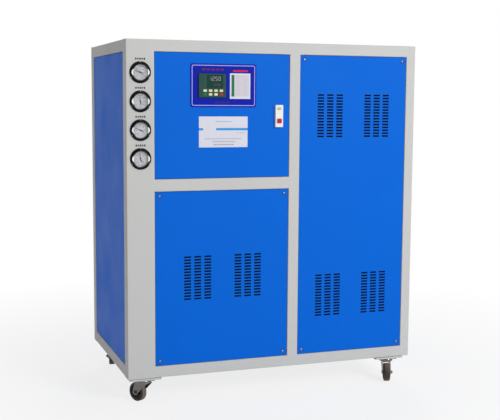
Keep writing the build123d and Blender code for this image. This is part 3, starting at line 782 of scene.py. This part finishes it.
class CHILLER_OT_panel_screws(bpy.types.Operator):
    """Adds a dished cup and a cross-head screw at each corner of the screwed panels"""

    bl_idname = "chiller.panel_screws"
    bl_label = "Panel screws"

    def execute(self, context):
        colours = context.scene.chiller_colours
        sizes = context.scene.chiller_sizes
        plate = nickel_plate("nickel_plated_screws", colours.screw, 0.22)
        dark = printing_ink("screw_recess_shadow", linear("#1D1E20"))
        # The black neoprene washer round each cup is made dark as painted shade: it stands for the shadow gap round
        # the cup.
        neoprene = linear("#151617")
        shadow_washer_rubber = cured_rubber("neoprene_washers_painted_shadow", neoprene, neoprene, AXLE)
        cup_radius = sizes.screw_cup_radius
        head = sizes.screw_head_radius
        for node, side in PANEL_SCREWS.items():
            left, right, low, high, face = side.span(node)
            inset = sizes.screw_inset
            cups, screws, slots, shadow_washers = bmesh.new(), bmesh.new(), bmesh.new(), bmesh.new()
            for x in (left + inset, right - inset):
                for y in (low + inset, high - inset):
                    cup = [
                        (cup_radius, face), (cup_radius - 0.5 * MM, face + 0.9 * MM),
                        (cup_radius - 1.3 * MM, face + 1.2 * MM), (head + 0.2 * MM, face + 0.25 * MM),
                        (0.0, face + 0.2 * MM),
                    ]
                    turned(cups, side, x, y, cup, 28)
                    turned(shadow_washers, side, x, y, [
                        (cup_radius - 0.6 * MM, face), (cup_radius + 1.1 * MM, face),
                        (cup_radius + 0.9 * MM, face + 0.4 * MM), (cup_radius - 0.6 * MM, face + 0.4 * MM),
                    ], 28, closed=True)
                    screw_head(screws, side, x, y, face + 0.2 * MM, head, 1.3 * MM)
                    cross_slot(slots, side, x, y, face + 1.48 * MM, head, 0.08 * MM)
            paint = frame["nodes"][node].data.materials[0]
            piece(f"{node}_screw_cups", cups, paint, CABINET)
            piece(f"{node}_screw_shadow_washers", shadow_washers, shadow_washer_rubber, CABINET)
            piece(f"{node}_screws", screws, plate, CABINET)
            piece(f"{node}_screw_slots", slots, dark, CABINET)
        return {"FINISHED"}


def dial_number(shape, side, x, y, z, text, height):
    """Adds a plain number as flat letters."""
    curve = bpy.data.curves.new("number", "FONT")
    curve.body = text
    curve.size = height * 1.35
    curve.align_x = "CENTER"
    curve.align_y = "CENTER"
    curve.resolution_u = 3
    holder = bpy.data.objects.new("number", curve)
    mesh = bpy.data.meshes.new_from_object(holder)
    mesh.transform(side.matrix(x, y, z))
    shape.from_mesh(mesh)
    bpy.data.objects.remove(holder)
    bpy.data.curves.remove(curve)
    bpy.data.meshes.remove(mesh)


# A gauge's pointers, the lowest gauge first, and the slope inside its bezel, in degrees and millimetres
POINTER_ANGLES = (103, 157, 97, 159)
BEZEL_WINDOW = 28.5
BEZEL_LIP = 7.6
BEZEL_CREST = 9.0
BEZEL_SLOPE_WIDTH = 4.0
BEZEL_RADIUS = 35.0
BEZEL_EDGE = 1.5


class CHILLER_OT_gauges(bpy.types.Operator):
    """Finishes the four pressure gauges: enamel, dials, scales, crescents of painted reflection, screws and legends"""

    bl_idname = "chiller.gauges"
    bl_label = "Pressure gauges"

    def execute(self, context):
        colours = context.scene.chiller_colours
        sizes = context.scene.chiller_sizes
        paint_nodes(stove_enamel("stove_enamel_black", colours.gauge_enamel), "gauge_cases")
        paint_nodes(lacquered_dial("lacquered_aluminium_dial", colours.gauge_dial), "gauge_dials")
        paint_nodes(float_glass("float_glass"), "gauge_glasses")
        ink = printing_ink("dial_ink_black", colours.gauge_ink)
        # The crescents stand for reflections in each bezel: a near-white plate, as painted reflection.
        bright = nickel_plate("nickel_painted_reflection", linear("#F6F6F8"), 0.1)
        dull = nickel_plate("black_nickel_bezel_bands", linear("#4A4C50"), 0.24)
        screw_plate = nickel_plate("nickel_plated_flange_screws", colours.screw, 0.2)
        legend = printing_ink("legend_ink", colours.legend_ink)
        scales, bands, crescents = bmesh.new(), bmesh.new(), bmesh.new()
        needles, screws, legends = bmesh.new(), bmesh.new(), bmesh.new()
        for level, angle in zip(gauge_levels, POINTER_ANGLES):
            self.scale(scales, level, sizes.dial_number_height)
            self.pointer(needles, level, angle)
            self.bezel_band(bands, level)
            self.crescents(crescents, level)
            self.flange_screws(screws, level)
            self.legend(legends, level, sizes.print_height)
        piece("gauge_scales", scales, ink, CABINET)
        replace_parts(piece("gauge_pointers", needles, ink, CABINET), "gauge_needles")
        piece("gauge_bezel_bands", bands, dull, CABINET)
        piece("gauge_painted_reflections", crescents, bright, CABINET)
        piece("gauge_flange_screws", screws, screw_plate, CABINET)
        piece("gauge_legends", legends, legend, CABINET)
        return {"FINISHED"}

    def scale(self, shape, level, number_height):
        """Draws one dial: an arc, ticks round three quarters of a turn, and plain numbers."""
        face = FRONT.span("gauge_dials")[4]
        top = face + 0.1 * MM
        sweep = 270
        start = 225
        arc_steps = 54
        rows = []
        for step in range(arc_steps + 1):
            angle = start - sweep * step / arc_steps
            inner, outer = self.polar(level, 22.6, angle), self.polar(level, 23.0, angle)
            rows.append([FRONT.at(*inner, face), FRONT.at(*outer, face), FRONT.at(*outer, top), FRONT.at(*inner, top)])
        strip(shape, rows)
        ticks = 30
        for tick in range(ticks + 1):
            angle = start - sweep * tick / ticks
            major = tick % 5 == 0
            length_in = 4.0 if major else 2.2
            half = 0.9 if major else 0.5
            prism(shape, FRONT, [
                self.polar(level, 23.0 - length_in, angle + half), self.polar(level, 23.0 - length_in, angle - half),
                self.polar(level, 23.0, angle - half), self.polar(level, 23.0, angle + half),
            ], face, top)
            if major:
                x, y = self.polar(level, 15.5, angle)
                dial_number(shape, FRONT, x, y, top, str(tick // 5 * 5), number_height)

    def polar(self, level, radius, degrees):
        """A point on a dial, from its radius in millimetres and its angle."""
        angle = math.radians(degrees)
        return GAUGE_X + radius * MM * math.cos(angle), level + radius * MM * math.sin(angle)

    def pointer(self, shape, level, angle):
        """Adds one pointer: a tapered blade, a broad tail and a domed hub."""
        face = FRONT.span("gauge_needles")[4]
        along = math.cos(math.radians(angle)), math.sin(math.radians(angle))
        rows = []
        for reach, half in ((-12.0, 1.7), (-3.0, 1.9), (3.0, 1.2), (20.0, 0.7), (23.0, 0.2)):
            corners = []
            for turn, z in ((half, -1.6), (-half, -1.6), (-half, -0.9), (half, -0.9)):
                x = (reach * along[0] - turn * along[1]) * MM
                y = (reach * along[1] + turn * along[0]) * MM
                corners.append(FRONT.at(GAUGE_X + x, level + y, face + z * MM))
            rows.append(corners)
        strip(shape, rows)
        hub = ((3.2, -2.6), (3.2, -0.6), (2.4, -0.1), (0.0, 0.0))
        turned(shape, FRONT, GAUGE_X, level, [(r * MM, face + z * MM) for r, z in hub], 24)

    def bezel_slope(self, radius):
        """How far out a bezel stands at a radius, both in millimetres: slope, crest and round edge."""
        slope = BEZEL_LIP + (radius - BEZEL_WINDOW) * (BEZEL_CREST - BEZEL_LIP) / BEZEL_SLOPE_WIDTH
        past = max(0.0, radius - BEZEL_RADIUS + BEZEL_EDGE)
        return min(slope, BEZEL_CREST) - BEZEL_EDGE + math.sqrt(BEZEL_EDGE ** 2 - past ** 2)

    def bezel_band(self, shape, level):
        """Adds the plated band that lines the lower part of a bezel's inner slope."""
        inner, outer = BEZEL_WINDOW + 0.1, BEZEL_WINDOW + 2.3
        profile = [
            (r * MM, POST_FACE + (self.bezel_slope(r) + lift) * MM)
            for r, lift in ((inner, -0.1), (outer, -0.1), (outer, 0.08), (inner, 0.08))
        ]
        turned(shape, FRONT, GAUGE_X, level, profile, 64, closed=True)

    def crescents(self, shape, level):
        """Adds the two crescents on the left and right of a bezel: near-white facets that are a painted reflection in
        it.
        """
        steps = 16
        reach = 25
        inner = BEZEL_WINDOW + 0.15
        for middle in (0, 180):
            rows = []
            for step in range(steps + 1):
                share = 2 * step / steps - 1
                angle = middle + reach * share
                width = 0.2 + 5.4 * (1 - share * share)
                radii = [inner + width * part / 4 for part in range(5)]
                skin = [(radius, 0.12) for radius in reversed(radii)] + [(radius, -0.1) for radius in radii]
                rows.append([
                    FRONT.at(*self.polar(level, radius, angle), POST_FACE + (self.bezel_slope(radius) + lift) * MM)
                    for radius, lift in skin
                ])
            strip(shape, rows)

    def flange_screws(self, shape, level):
        """Adds three small screws in a gauge's flange, with one at the top."""
        for degrees in (90, 210, 330):
            x, y = self.polar(level, 38.0, degrees)
            screw_head(shape, FRONT, x, y, POST_FACE + 3.0 * MM, 2.4 * MM, 1.4 * MM)

    def legend(self, shape, level, height):
        """Adds a row of plain printed marks over a gauge."""
        marks = 5
        pitch = 8.2 * MM
        for mark in range(marks):
            x = GAUGE_X + (mark - (marks - 1) / 2) * pitch
            tall = (7.6 - 1.4 * (mark % 2)) * MM
            outline = rounded(x - 2.6 * MM, level + 50.4 * MM - tall / 2, 5.2 * MM, tall, 0.8 * MM, 2)
            prism(shape, FRONT, outline, POST_FACE, POST_FACE + height)


SEGMENTS = {
    "0": "abcdef", "1": "bc", "2": "abdeg", "3": "abcdg", "4": "bcfg",
    "5": "acdfg", "6": "acdefg", "7": "abc", "8": "abcdefg", "9": "abcdfg",
}


def seven_segments(shape, side, right_edge, y, z, text, height, thickness):
    """Adds lit digits, set to the right, as seven six-sided bars each and a point where asked."""
    width = 0.46 * height
    pitch = 0.84 * height
    bar = 0.1 * height
    half = height / 2
    places = {
        "a": (0, half, 0), "g": (0, 0, 0), "d": (0, -half, 0),
        "f": (-width / 2, half / 2, 90), "b": (width / 2, half / 2, 90),
        "e": (-width / 2, -half / 2, 90), "c": (width / 2, -half / 2, 90),
    }
    x = right_edge - width / 2
    for character in reversed(text):
        if character == ".":
            dot = x + pitch / 2
            prism(shape, side, rectangle(dot - bar / 2, y - half - bar / 2, bar, bar), z, z + thickness)
            continue
        for segment in SEGMENTS[character]:
            dx, dy, turn = places[segment]
            reach = (width if turn == 0 else half) / 2 - 0.25 * bar
            outline = [
                (-reach, 0), (-reach + bar / 2, -bar / 2), (reach - bar / 2, -bar / 2),
                (reach, 0), (reach - bar / 2, bar / 2), (-reach + bar / 2, bar / 2),
            ]
            if turn:
                outline = [(-b, a) for a, b in outline]
            prism(shape, side, [(x + dx + a, y + dy + b) for a, b in outline], z, z + thickness)
        x -= pitch


class CHILLER_OT_controls(bpy.types.Operator):
    """Finishes the control overlay, the controller with its display and keys, and the cards"""

    bl_idname = "chiller.controls"
    bl_label = "Control group"

    def execute(self, context):
        colours = context.scene.chiller_colours
        sizes = context.scene.chiller_sizes
        paint_nodes(printed_film("printed_polyester_film", colours.overlay_film), "control_overlay")
        paint_nodes(moulded_plastic("moulded_abs_green", colours.controller, 0.42), "controller")
        card = laminated_card("laminated_card_white", colours.card)
        paint_nodes(card, "instruction_card", "name_card")
        self.overlay_printing(colours, sizes)
        self.display(colours, sizes)
        self.keys(colours)
        self.instruction_card(colours, sizes)
        self.name_card(colours, sizes)
        return {"FINISHED"}

    def overlay_printing(self, colours, sizes):
        left, right, low, high, face = FRONT.span("control_overlay")
        top = face + sizes.print_height
        inset, line, corner = 5.0 * MM, 3.0 * MM, 7.0 * MM
        width, height = right - left, high - low
        border = bmesh.new()
        outer = rounded(left + inset, low + inset, width - 2 * inset, height - 2 * inset, corner)
        inner = rounded(
            left + inset + line, low + inset + line,
            width - 2 * (inset + line), height - 2 * (inset + line), corner - line,
        )
        band(border, FRONT, outer, inner, face, top)
        piece("overlay_border", border, printing_ink("ink_lilac", colours.overlay_line), CABINET)
        marks = bmesh.new()
        for mark in range(5):
            x = left + 46 * MM + mark * 18.5 * MM
            prism(marks, FRONT, rounded(x, low + 140 * MM, 13 * MM, 7 * MM, 2 * MM, 3), face, top)
        piece("overlay_marks", marks, printing_ink("ink_dark_red", colours.overlay_marks), CABINET)
        pill = bmesh.new()
        prism(pill, FRONT, rounded(left + 170 * MM, low + 135.5 * MM, 62 * MM, 7 * MM, 3.4 * MM), face, top)
        piece("card_heading", pill, printing_ink("ink_red", colours.overlay_title), CABINET)
        footer = bmesh.new()
        for mark in range(4):
            x = left + 96 * MM + mark * 16 * MM
            prism(footer, FRONT, rounded(x, low + 15 * MM, 12 * MM, 6 * MM, 1.5 * MM, 3), face, top)
        piece("overlay_footer", footer, printing_ink("ink_maroon", linear("#2B0F66")), CABINET)

    def display(self, colours, sizes):
        left, right, low, high, face = FRONT.span("controller")
        recess = 1.5 * MM
        floor = face - recess
        window = bmesh.new()
        window_left, window_low = left + 31.3 * MM, low + 37.3 * MM
        prism(window, FRONT, rectangle(window_left, window_low, 65.4 * MM, 49.4 * MM), floor, floor + 0.6 * MM)
        piece("display_window", window, smoked_window("smoked_acrylic", colours.display_window), CABINET)
        digits = bmesh.new()
        glass = floor + 0.6 * MM
        seven_segments(digits, FRONT, left + 87.3 * MM, low + 72.5 * MM, glass, "12.50", sizes.display_height, 0.15 * MM)
        piece("display_digits", digits, lit_segments("lit_digits", colours.digits, 0.15), CABINET)
        small = bmesh.new()
        low_row = low + 48.5 * MM
        seven_segments(small, FRONT, left + 86 * MM, low_row, glass, "0150", sizes.display_low_height, 0.15 * MM)
        piece("display_low_digits", small, lit_segments("lit_low_digits", linear("#783C3C"), 0.05), CABINET)
        lamps, rules = bmesh.new(), bmesh.new()
        for row in range(6):
            y = low + (46 + 7 * row) * MM
            lens = [(1.3 * MM, face), (1.3 * MM, face + 0.3 * MM), (0.7 * MM, face + 0.7 * MM), (0.0, face + 0.8 * MM)]
            turned(lamps, FRONT, left + 27 * MM, y, lens, 12)
            prism(rules, FRONT, rectangle(left + 7 * MM, y - 0.9 * MM, 15 * MM, 1.8 * MM), face, face + sizes.print_height)
        piece("status_lamps", lamps, lit_segments("status_lamps_green", linear("#2F7A3A"), 0.05), CABINET)
        piece("status_rules", rules, printing_ink("ink_dark_green", linear("#123A34")), CABINET)

    def keys(self, colours):
        """Replaces the plain keys with dished caps, one piece for each colour."""
        left, right, low, high, face = FRONT.span("controller_keys")
        columns, rows = 4, 2
        width, height = 14 * MM, 9 * MM
        pitch_x = (right - left - width) / (columns - 1)
        pitch_y = (high - low - height) / (rows - 1)
        base = FRONT.span("controller")[4]
        cream, green, red = bmesh.new(), bmesh.new(), bmesh.new()
        special = {(0, 0): green, (columns - 1, 0): red}
        for column in range(columns):
            for row in range(rows):
                shape = special.get((column, row), cream)
                self.key_cap(shape, left + column * pitch_x, low + row * pitch_y, width, height, base, face)
        caps = piece("keys_cream", cream, silicone_rubber("silicone_cream", colours.key_cream), CABINET)
        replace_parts(caps, "controller_keys")
        piece("key_green", green, silicone_rubber("silicone_green", colours.key_green), CABINET)
        piece("key_red", red, silicone_rubber("silicone_red", colours.key_red), CABINET)

    def key_cap(self, shape, x, y, width, height, base, face):
        """Adds one key cap: straight skirt, rounded shoulder and a shallow dish."""
        levels = ((0.0, base), (0.0, face - 0.6 * MM), (0.5 * MM, face), (1.6 * MM, face - 0.25 * MM))
        rows = []
        for inset, z in levels:
            outline = rounded(x + inset, y + inset, width - 2 * inset, height - 2 * inset, 1.7 * MM - inset, 3)
            rows.append([shape.verts.new(FRONT.at(a, b, z)) for a, b in outline])
        shape.faces.new(reversed(rows[0]))
        for row, following in zip(rows, rows[1:]):
            for here in range(len(row)):
                there = (here + 1) % len(row)
                shape.faces.new((row[here], row[there], following[there], following[here]))
        shape.faces.new(rows[-1])

    def instruction_card(self, colours, sizes):
        left, right, low, high, face = FRONT.span("instruction_card")
        top = face + sizes.print_height
        bar, table, lines = bmesh.new(), bmesh.new(), bmesh.new()
        prism(bar, FRONT, rectangle(left + 6.4 * MM, low + 9 * MM, 12 * MM, 83 * MM), face, top)
        prism(table, FRONT, rectangle(left + 21 * MM, low + 9 * MM, 58 * MM, 83 * MM), face, top)
        rows = 11
        for row in range(rows):
            y = low + 14.5 * MM + row * 7.2 * MM
            for column, start in enumerate((24.0, 53.0)):
                reach = (23 - 4 * ((row + column) % 3)) * MM
                prism(lines, FRONT, rectangle(left + start * MM, y, reach, 1.2 * MM), top, top + 0.05 * MM)
        piece("card_bar", bar, printing_ink("ink_green", colours.card_green), CABINET)
        piece("card_table", table, printing_ink("ink_pale_grey", colours.card_table), CABINET)
        piece("card_rules", lines, printing_ink("ink_faint_grey", linear("#BDB9C4")), CABINET)

    def name_card(self, colours, sizes):
        left, right, low, high, face = FRONT.span("name_card")
        top = face + sizes.print_height
        stripe, lines = bmesh.new(), bmesh.new()
        for x0, x1 in ((left, left + 17 * MM), (left + 69 * MM, right)):
            prism(stripe, FRONT, rectangle(x0, low + 65.5 * MM, x1 - x0, 9 * MM), face, top)
        rules = (
            (68, 98, 64, 3.0), (153, 54.5, 38, 2.2), (24, 31.5, 148, 3.0),
            (56, 20.5, 92, 4.0), (60, 8.0, 84, 5.0),
        )
        for x, y, reach, thick in rules:
            dashes = round(reach / 6.0)
            for dash in range(dashes):
                start = left + (x + reach * dash / dashes) * MM
                width = (4.6 - 1.2 * (dash % 2)) * MM
                prism(lines, FRONT, rectangle(start, low + y * MM, width, thick * MM), face, top)
        piece("name_card_stripe", stripe, printing_ink("ink_blue", colours.card_stripe), CABINET)
        piece("name_card_rules", lines, printing_ink("ink_grey", colours.card_ink), CABINET)


class CHILLER_OT_switch(bpy.types.Operator):
    """Finishes the switch housing and its two push buttons"""

    bl_idname = "chiller.switch"
    bl_label = "Switch station"

    def execute(self, context):
        colours = context.scene.chiller_colours
        paint_nodes(moulded_plastic("moulded_abs_white", colours.switch, 0.35), "switch_housing")
        paint_nodes(moulded_plastic("moulded_abs_beige", colours.start_button, 0.4), "start_button")
        paint_nodes(moulded_plastic("moulded_abs_red", colours.stop_button, 0.35), "stop_button")
        return {"FINISHED"}


def castor_frames(place):
    """The upright side at a castor's king pin, and the two sides of its wheel."""
    swivel = castor_joints[f"{place}_castor_swivel"]
    roll = castor_joints[f"{place}_castor_roll"]
    axle = Vector(roll["axis"]).normalized()
    centre = Vector(roll["pos_m"])
    pin = Vector(swivel["pos_m"])
    under = Side((1, 0, 0), (0, -1, 0), (pin.x, pin.y, 0))
    faces = [Side(Vector((0, 0, 1)).cross(axle * sign), (0, 0, 1), centre) for sign in (-1, 1)]
    return under, faces


class CHILLER_OT_castors(bpy.types.Operator):
    """Finishes the castors: zinc forks, plate bolts, race lips, wheel ribs and thread guards"""

    bl_idname = "chiller.castors"
    bl_label = "Castors"

    def execute(self, context):
        colours = context.scene.chiller_colours
        sizes = context.scene.chiller_sizes
        zinc = zinc_plate("zinc_plated_steel", colours.zinc)
        rubber = cured_rubber("cured_rubber", colours.tyre, colours.tread, AXLE)
        guard = moulded_plastic("moulded_polypropylene_guard", linear("#2A2626"), 0.45)
        paint_nodes(zinc, *nodes_of("zinc"))
        paint_nodes(rubber, *nodes_of("wheel"))
        paint_nodes(frame["nodes"]["post_front_left"].data.materials[0], "castor_pads")
        bolts, lips = bmesh.new(), bmesh.new()
        plate_low = -(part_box("castor_pads")[0].z - 3.0 * MM)
        for place in CASTOR_PLACES:
            under, faces = castor_frames(place)
            for x in (-32 * MM, 32 * MM):
                for y in (-23 * MM, 23 * MM):
                    turned(bolts, under, x, y, [
                        (5.0 * MM, plate_low), (5.0 * MM, plate_low + 2.2 * MM),
                        (4.4 * MM, plate_low + 2.8 * MM), (0.0, plate_low + 2.8 * MM),
                    ], 6)
            lip = [
                (24.6 * MM, plate_low + 0.2 * MM), (28.4 * MM, plate_low + 0.2 * MM),
                (29.0 * MM, plate_low + 1.6 * MM), (28.2 * MM, plate_low + 3.4 * MM),
                (24.6 * MM, plate_low + 3.6 * MM),
            ]
            turned(lips, under, 0, 0, lip, 40, closed=True)
            ribs, hub = bmesh.new(), bmesh.new()
            for face in faces:
                self.wheel_ribs(ribs, face, sizes.tread_ribs)
                turned(hub, face, 0, 0, [
                    (13.5 * MM, 4.5 * MM), (13.5 * MM, 12.0 * MM), (12.0 * MM, 13.6 * MM),
                    (11.05 * MM, 13.8 * MM), (11.05 * MM, 4.5 * MM),
                ], 32, closed=True)
            piece(f"wheel_ribs_{place}", ribs, rubber, f"castor_wheel_{place}")
            piece(f"wheel_hub_rings_{place}", hub, guard, f"castor_wheel_{place}")
        piece("castor_plate_bolts", bolts, zinc, CABINET)
        # Near-white plate on the race lips, as a painted highlight for the glints round each castor's crown.
        race = nickel_plate("race_lips_painted_glint", linear("#DADBDD"), 0.14)
        piece("castor_race_lips", lips, race, CABINET)
        return {"FINISHED"}

    def wheel_ribs(self, shape, side, count):
        """Adds the stiffening ribs between a wheel's hub and its rim, on one side of the web."""
        for rib in range(count):
            angle = 2 * math.pi * rib / count
            along = (math.cos(angle), math.sin(angle))
            across = (-along[1], along[0])
            outline = []
            for reach, half in ((12.5, -1.1), (27.4, -0.9), (27.4, 0.9), (12.5, 1.1)):
                outline.append(tuple((reach * a + half * b) * MM for a, b in zip(along, across)))
            prism(shape, side, outline, 4.4 * MM, 10.5 * MM)


class CHILLER_OT_connections(bpy.types.Operator):
    """Finishes the water sockets with their threads, and the cable gland"""

    bl_idname = "chiller.connections"
    bl_label = "Connections"

    def execute(self, context):
        colours = context.scene.chiller_colours
        sizes = context.scene.chiller_sizes
        brass = turned_brass("turned_brass", colours.brass)
        paint_nodes(brass, *nodes_of("socket_brass"))
        paint_nodes(moulded_plastic("moulded_polyamide_black", colours.gland, 0.5), "cable_gland")
        for node in nodes_of("socket_brass"):
            left, right, low, high, face = BACK.span(node)
            thread = bmesh.new()
            self.thread(thread, (left + right) / 2, (low + high) / 2, face, sizes.thread_pitch)
            piece(f"{node}_threads", thread, brass, CABINET)
        left, right, low, high, face = BACK.span("cable_gland")
        seal = bmesh.new()
        turned(seal, BACK, (left + right) / 2, (low + high) / 2, [
            (7.0 * MM, face - 6 * MM), (7.0 * MM, face - 0.6 * MM), (6.6 * MM, face - 0.2 * MM),
            (5.6 * MM, face - 0.6 * MM), (5.4 * MM, face - 6 * MM),
        ], 32, closed=True)
        rubber = cured_rubber("cured_neoprene", linear("#1B1B1C"), linear("#1B1B1C"), AXLE)
        piece("gland_seal", seal, rubber, CABINET)
        return {"FINISHED"}

    def thread(self, shape, x, y, mouth, pitch):
        """Adds a right-handed thread inside a socket, as a ridge that winds inwards."""
        steps = 36
        turns = 11
        core = 22.45 * MM
        crest = core - 1.1 * MM
        rows = []
        for step in range(steps * turns + 1):
            angle = -2 * math.pi * step / steps
            depth = mouth - 1.8 * MM - pitch * step / steps
            ridge = ((core, 0.48), (crest, 0.08), (crest, -0.08), (core, -0.48))
            rows.append([
                BACK.at(x + radius * math.cos(angle), y + radius * math.sin(angle), depth + shift * pitch)
                for radius, shift in ridge
            ])
        strip(shape, rows)


class CHILLER_OT_stage(bpy.types.Operator):
    """Sets up the pale floor, the room light, the lamps and the camera"""

    bl_idname = "chiller.stage"
    bl_label = "Stage"

    def execute(self, context):
        scene = context.scene
        scene.view_settings.view_transform = "Standard"
        self.room(scene)
        self.floor(scene)
        self.lamps(scene)
        self.camera(scene)
        return {"FINISHED"}

    def seen_directly(self, tree):
        """1 for rays that show the surroundings, and 0 for those that light the object."""
        path = add(tree, "ShaderNodeLightPath")
        mirror = add(tree, "ShaderNodeMath", {
            "Value": path.outputs["Is Camera Ray"], "Value_001": path.outputs["Is Glossy Ray"],
        }, operation="MAXIMUM")
        glass = add(tree, "ShaderNodeMath", {
            "Value": mirror.outputs["Value"], "Value_001": path.outputs["Is Transmission Ray"],
        }, operation="MAXIMUM")
        return glass.outputs["Value"]

    def room(self, scene):
        world = bpy.data.worlds.new("studio_room")
        scene.world = world
        world.use_nodes = True
        tree = world.node_tree
        tree.nodes.clear()
        level = add(tree, "ShaderNodeMapRange", {
            "Value": self.seen_directly(tree), "To Min": scene.chiller_stage.room_level, "To Max": 1.0,
        })
        light = add(tree, "ShaderNodeBackground", {
            "Color": (1.0, 1.0, 1.0, 1.0), "Strength": level.outputs["Result"],
        })
        add(tree, "ShaderNodeOutputWorld", {"Surface": light.outputs["Background"]})

    def floor(self, scene):
        half = scene.chiller_sizes.floor_width / 2
        shape = bmesh.new()
        corners = [shape.verts.new((x * half, y * half, 0)) for x, y in ((-1, -1), (1, -1), (1, 1), (-1, 1))]
        shape.faces.new(corners)
        mesh = bpy.data.meshes.new("studio_floor")
        shape.to_mesh(mesh)
        shape.free()
        material = bpy.data.materials.new("pale_floor")
        material.use_nodes = True
        tree = material.node_tree
        tree.nodes.clear()
        matt = add(tree, "ShaderNodeBsdfDiffuse", {"Color": scene.chiller_colours.floor})
        white = add(tree, "ShaderNodeEmission", {"Color": (1.0, 1.0, 1.0, 1.0), "Strength": 1.0})
        place = add(tree, "ShaderNodeTexCoord").outputs["Object"]
        away = add(tree, "ShaderNodeVectorMath", {"Vector": place}, operation="LENGTH")
        glow = add(tree, "ShaderNodeMapRange", {
            "Value": away.outputs["Value"],
            "From Min": 0.8, "From Max": 2.4, "To Min": 0.78, "To Max": 1.0,
        })
        share = add(tree, "ShaderNodeMath", {
            "Value": self.seen_directly(tree), "Value_001": glow.outputs["Result"],
        }, operation="MULTIPLY")
        mix = add(tree, "ShaderNodeMixShader", {
            "Fac": share.outputs["Value"], "Shader": matt.outputs["BSDF"], "Shader_001": white.outputs["Emission"],
        })
        add(tree, "ShaderNodeOutputMaterial", {"Surface": mix.outputs["Shader"]})
        mesh.materials.append(material)
        floor = bpy.data.objects.new("studio_floor", mesh)
        scene.collection.objects.link(floor)

    def lamps(self, scene):
        """Adds a large key lamp at the front right and a fill lamp behind, both aimed at the cabinet."""
        stage = scene.chiller_stage
        places = {
            "key_lamp": ((3.3, -7.1, 4.3), stage.key_power), "fill_lamp": ((2.6, 7.1, 3.6), stage.fill_power),
        }
        for name, (place, power) in places.items():
            light = bpy.data.lights.new(name, "AREA")
            light.size = 3.0
            light.energy = power
            lamp = bpy.data.objects.new(name, light)
            lamp.location = place
            aim = Vector((0.0, -0.35, 0.75)) - lamp.location
            lamp.rotation_euler = aim.to_track_quat("-Z", "Y").to_euler()
            scene.collection.objects.link(lamp)

    def camera(self, scene):
        stage = scene.chiller_stage
        lens = bpy.data.cameras.new("camera")
        lens.lens = stage.focal_length
        lens.sensor_width = 36.0
        camera = bpy.data.objects.new("camera", lens)
        turn = Matrix.Rotation(-stage.camera_yaw, 4, "Z")
        tilt = Matrix.Rotation(math.pi / 2 + stage.camera_pitch, 4, "X")
        lean = Matrix.Rotation(stage.camera_roll, 4, "Z")
        camera.matrix_world = Matrix.Translation(stage.camera_place) @ turn @ tilt @ lean
        scene.collection.objects.link(camera)
        scene.camera = camera


class CHILLER_PT_panel(bpy.types.Panel):
    """Lists the chiller's pieces and their settings"""

    bl_idname = "CHILLER_PT_panel"
    bl_label = "Water-cooled chiller"
    bl_space_type = "VIEW_3D"
    bl_region_type = "UI"
    bl_category = "Chiller"

    def draw(self, context):
        layout = self.layout
        for operator in OPERATORS:
            layout.operator(operator.bl_idname)
        for group in (context.scene.chiller_sizes, context.scene.chiller_colours, context.scene.chiller_stage):
            box = layout.box()
            for name in group.bl_rna.properties.keys():
                if name not in ("rna_type", "name"):
                    box.prop(group, name)


OPERATORS = (
    CHILLER_OT_sheet_metal, CHILLER_OT_louvre_shade_pads, CHILLER_OT_panel_screws,
    CHILLER_OT_gauges, CHILLER_OT_controls, CHILLER_OT_switch, CHILLER_OT_castors, CHILLER_OT_connections, CHILLER_OT_stage,
)
SETTINGS = {
    "chiller_colours": ChillerColours, "chiller_sizes": ChillerSizes, "chiller_stage": ChillerStage,
}


def register():
    for name, group in SETTINGS.items():
        bpy.utils.register_class(group)
        setattr(bpy.types.Scene, name, PointerProperty(type=group))
    for cls in (*OPERATORS, CHILLER_PT_panel):
        bpy.utils.register_class(cls)


def unregister():
    for cls in reversed((*OPERATORS, CHILLER_PT_panel)):
        bpy.utils.unregister_class(cls)
    for name, group in SETTINGS.items():
        delattr(bpy.types.Scene, name)
        bpy.utils.unregister_class(group)


def main():
    register()
    for operator in OPERATORS:
        group, name = operator.bl_idname.split(".")
        getattr(getattr(bpy.ops, group), name)()
    bpy.context.view_layer.update()


if __name__ == "__main__":
    main()
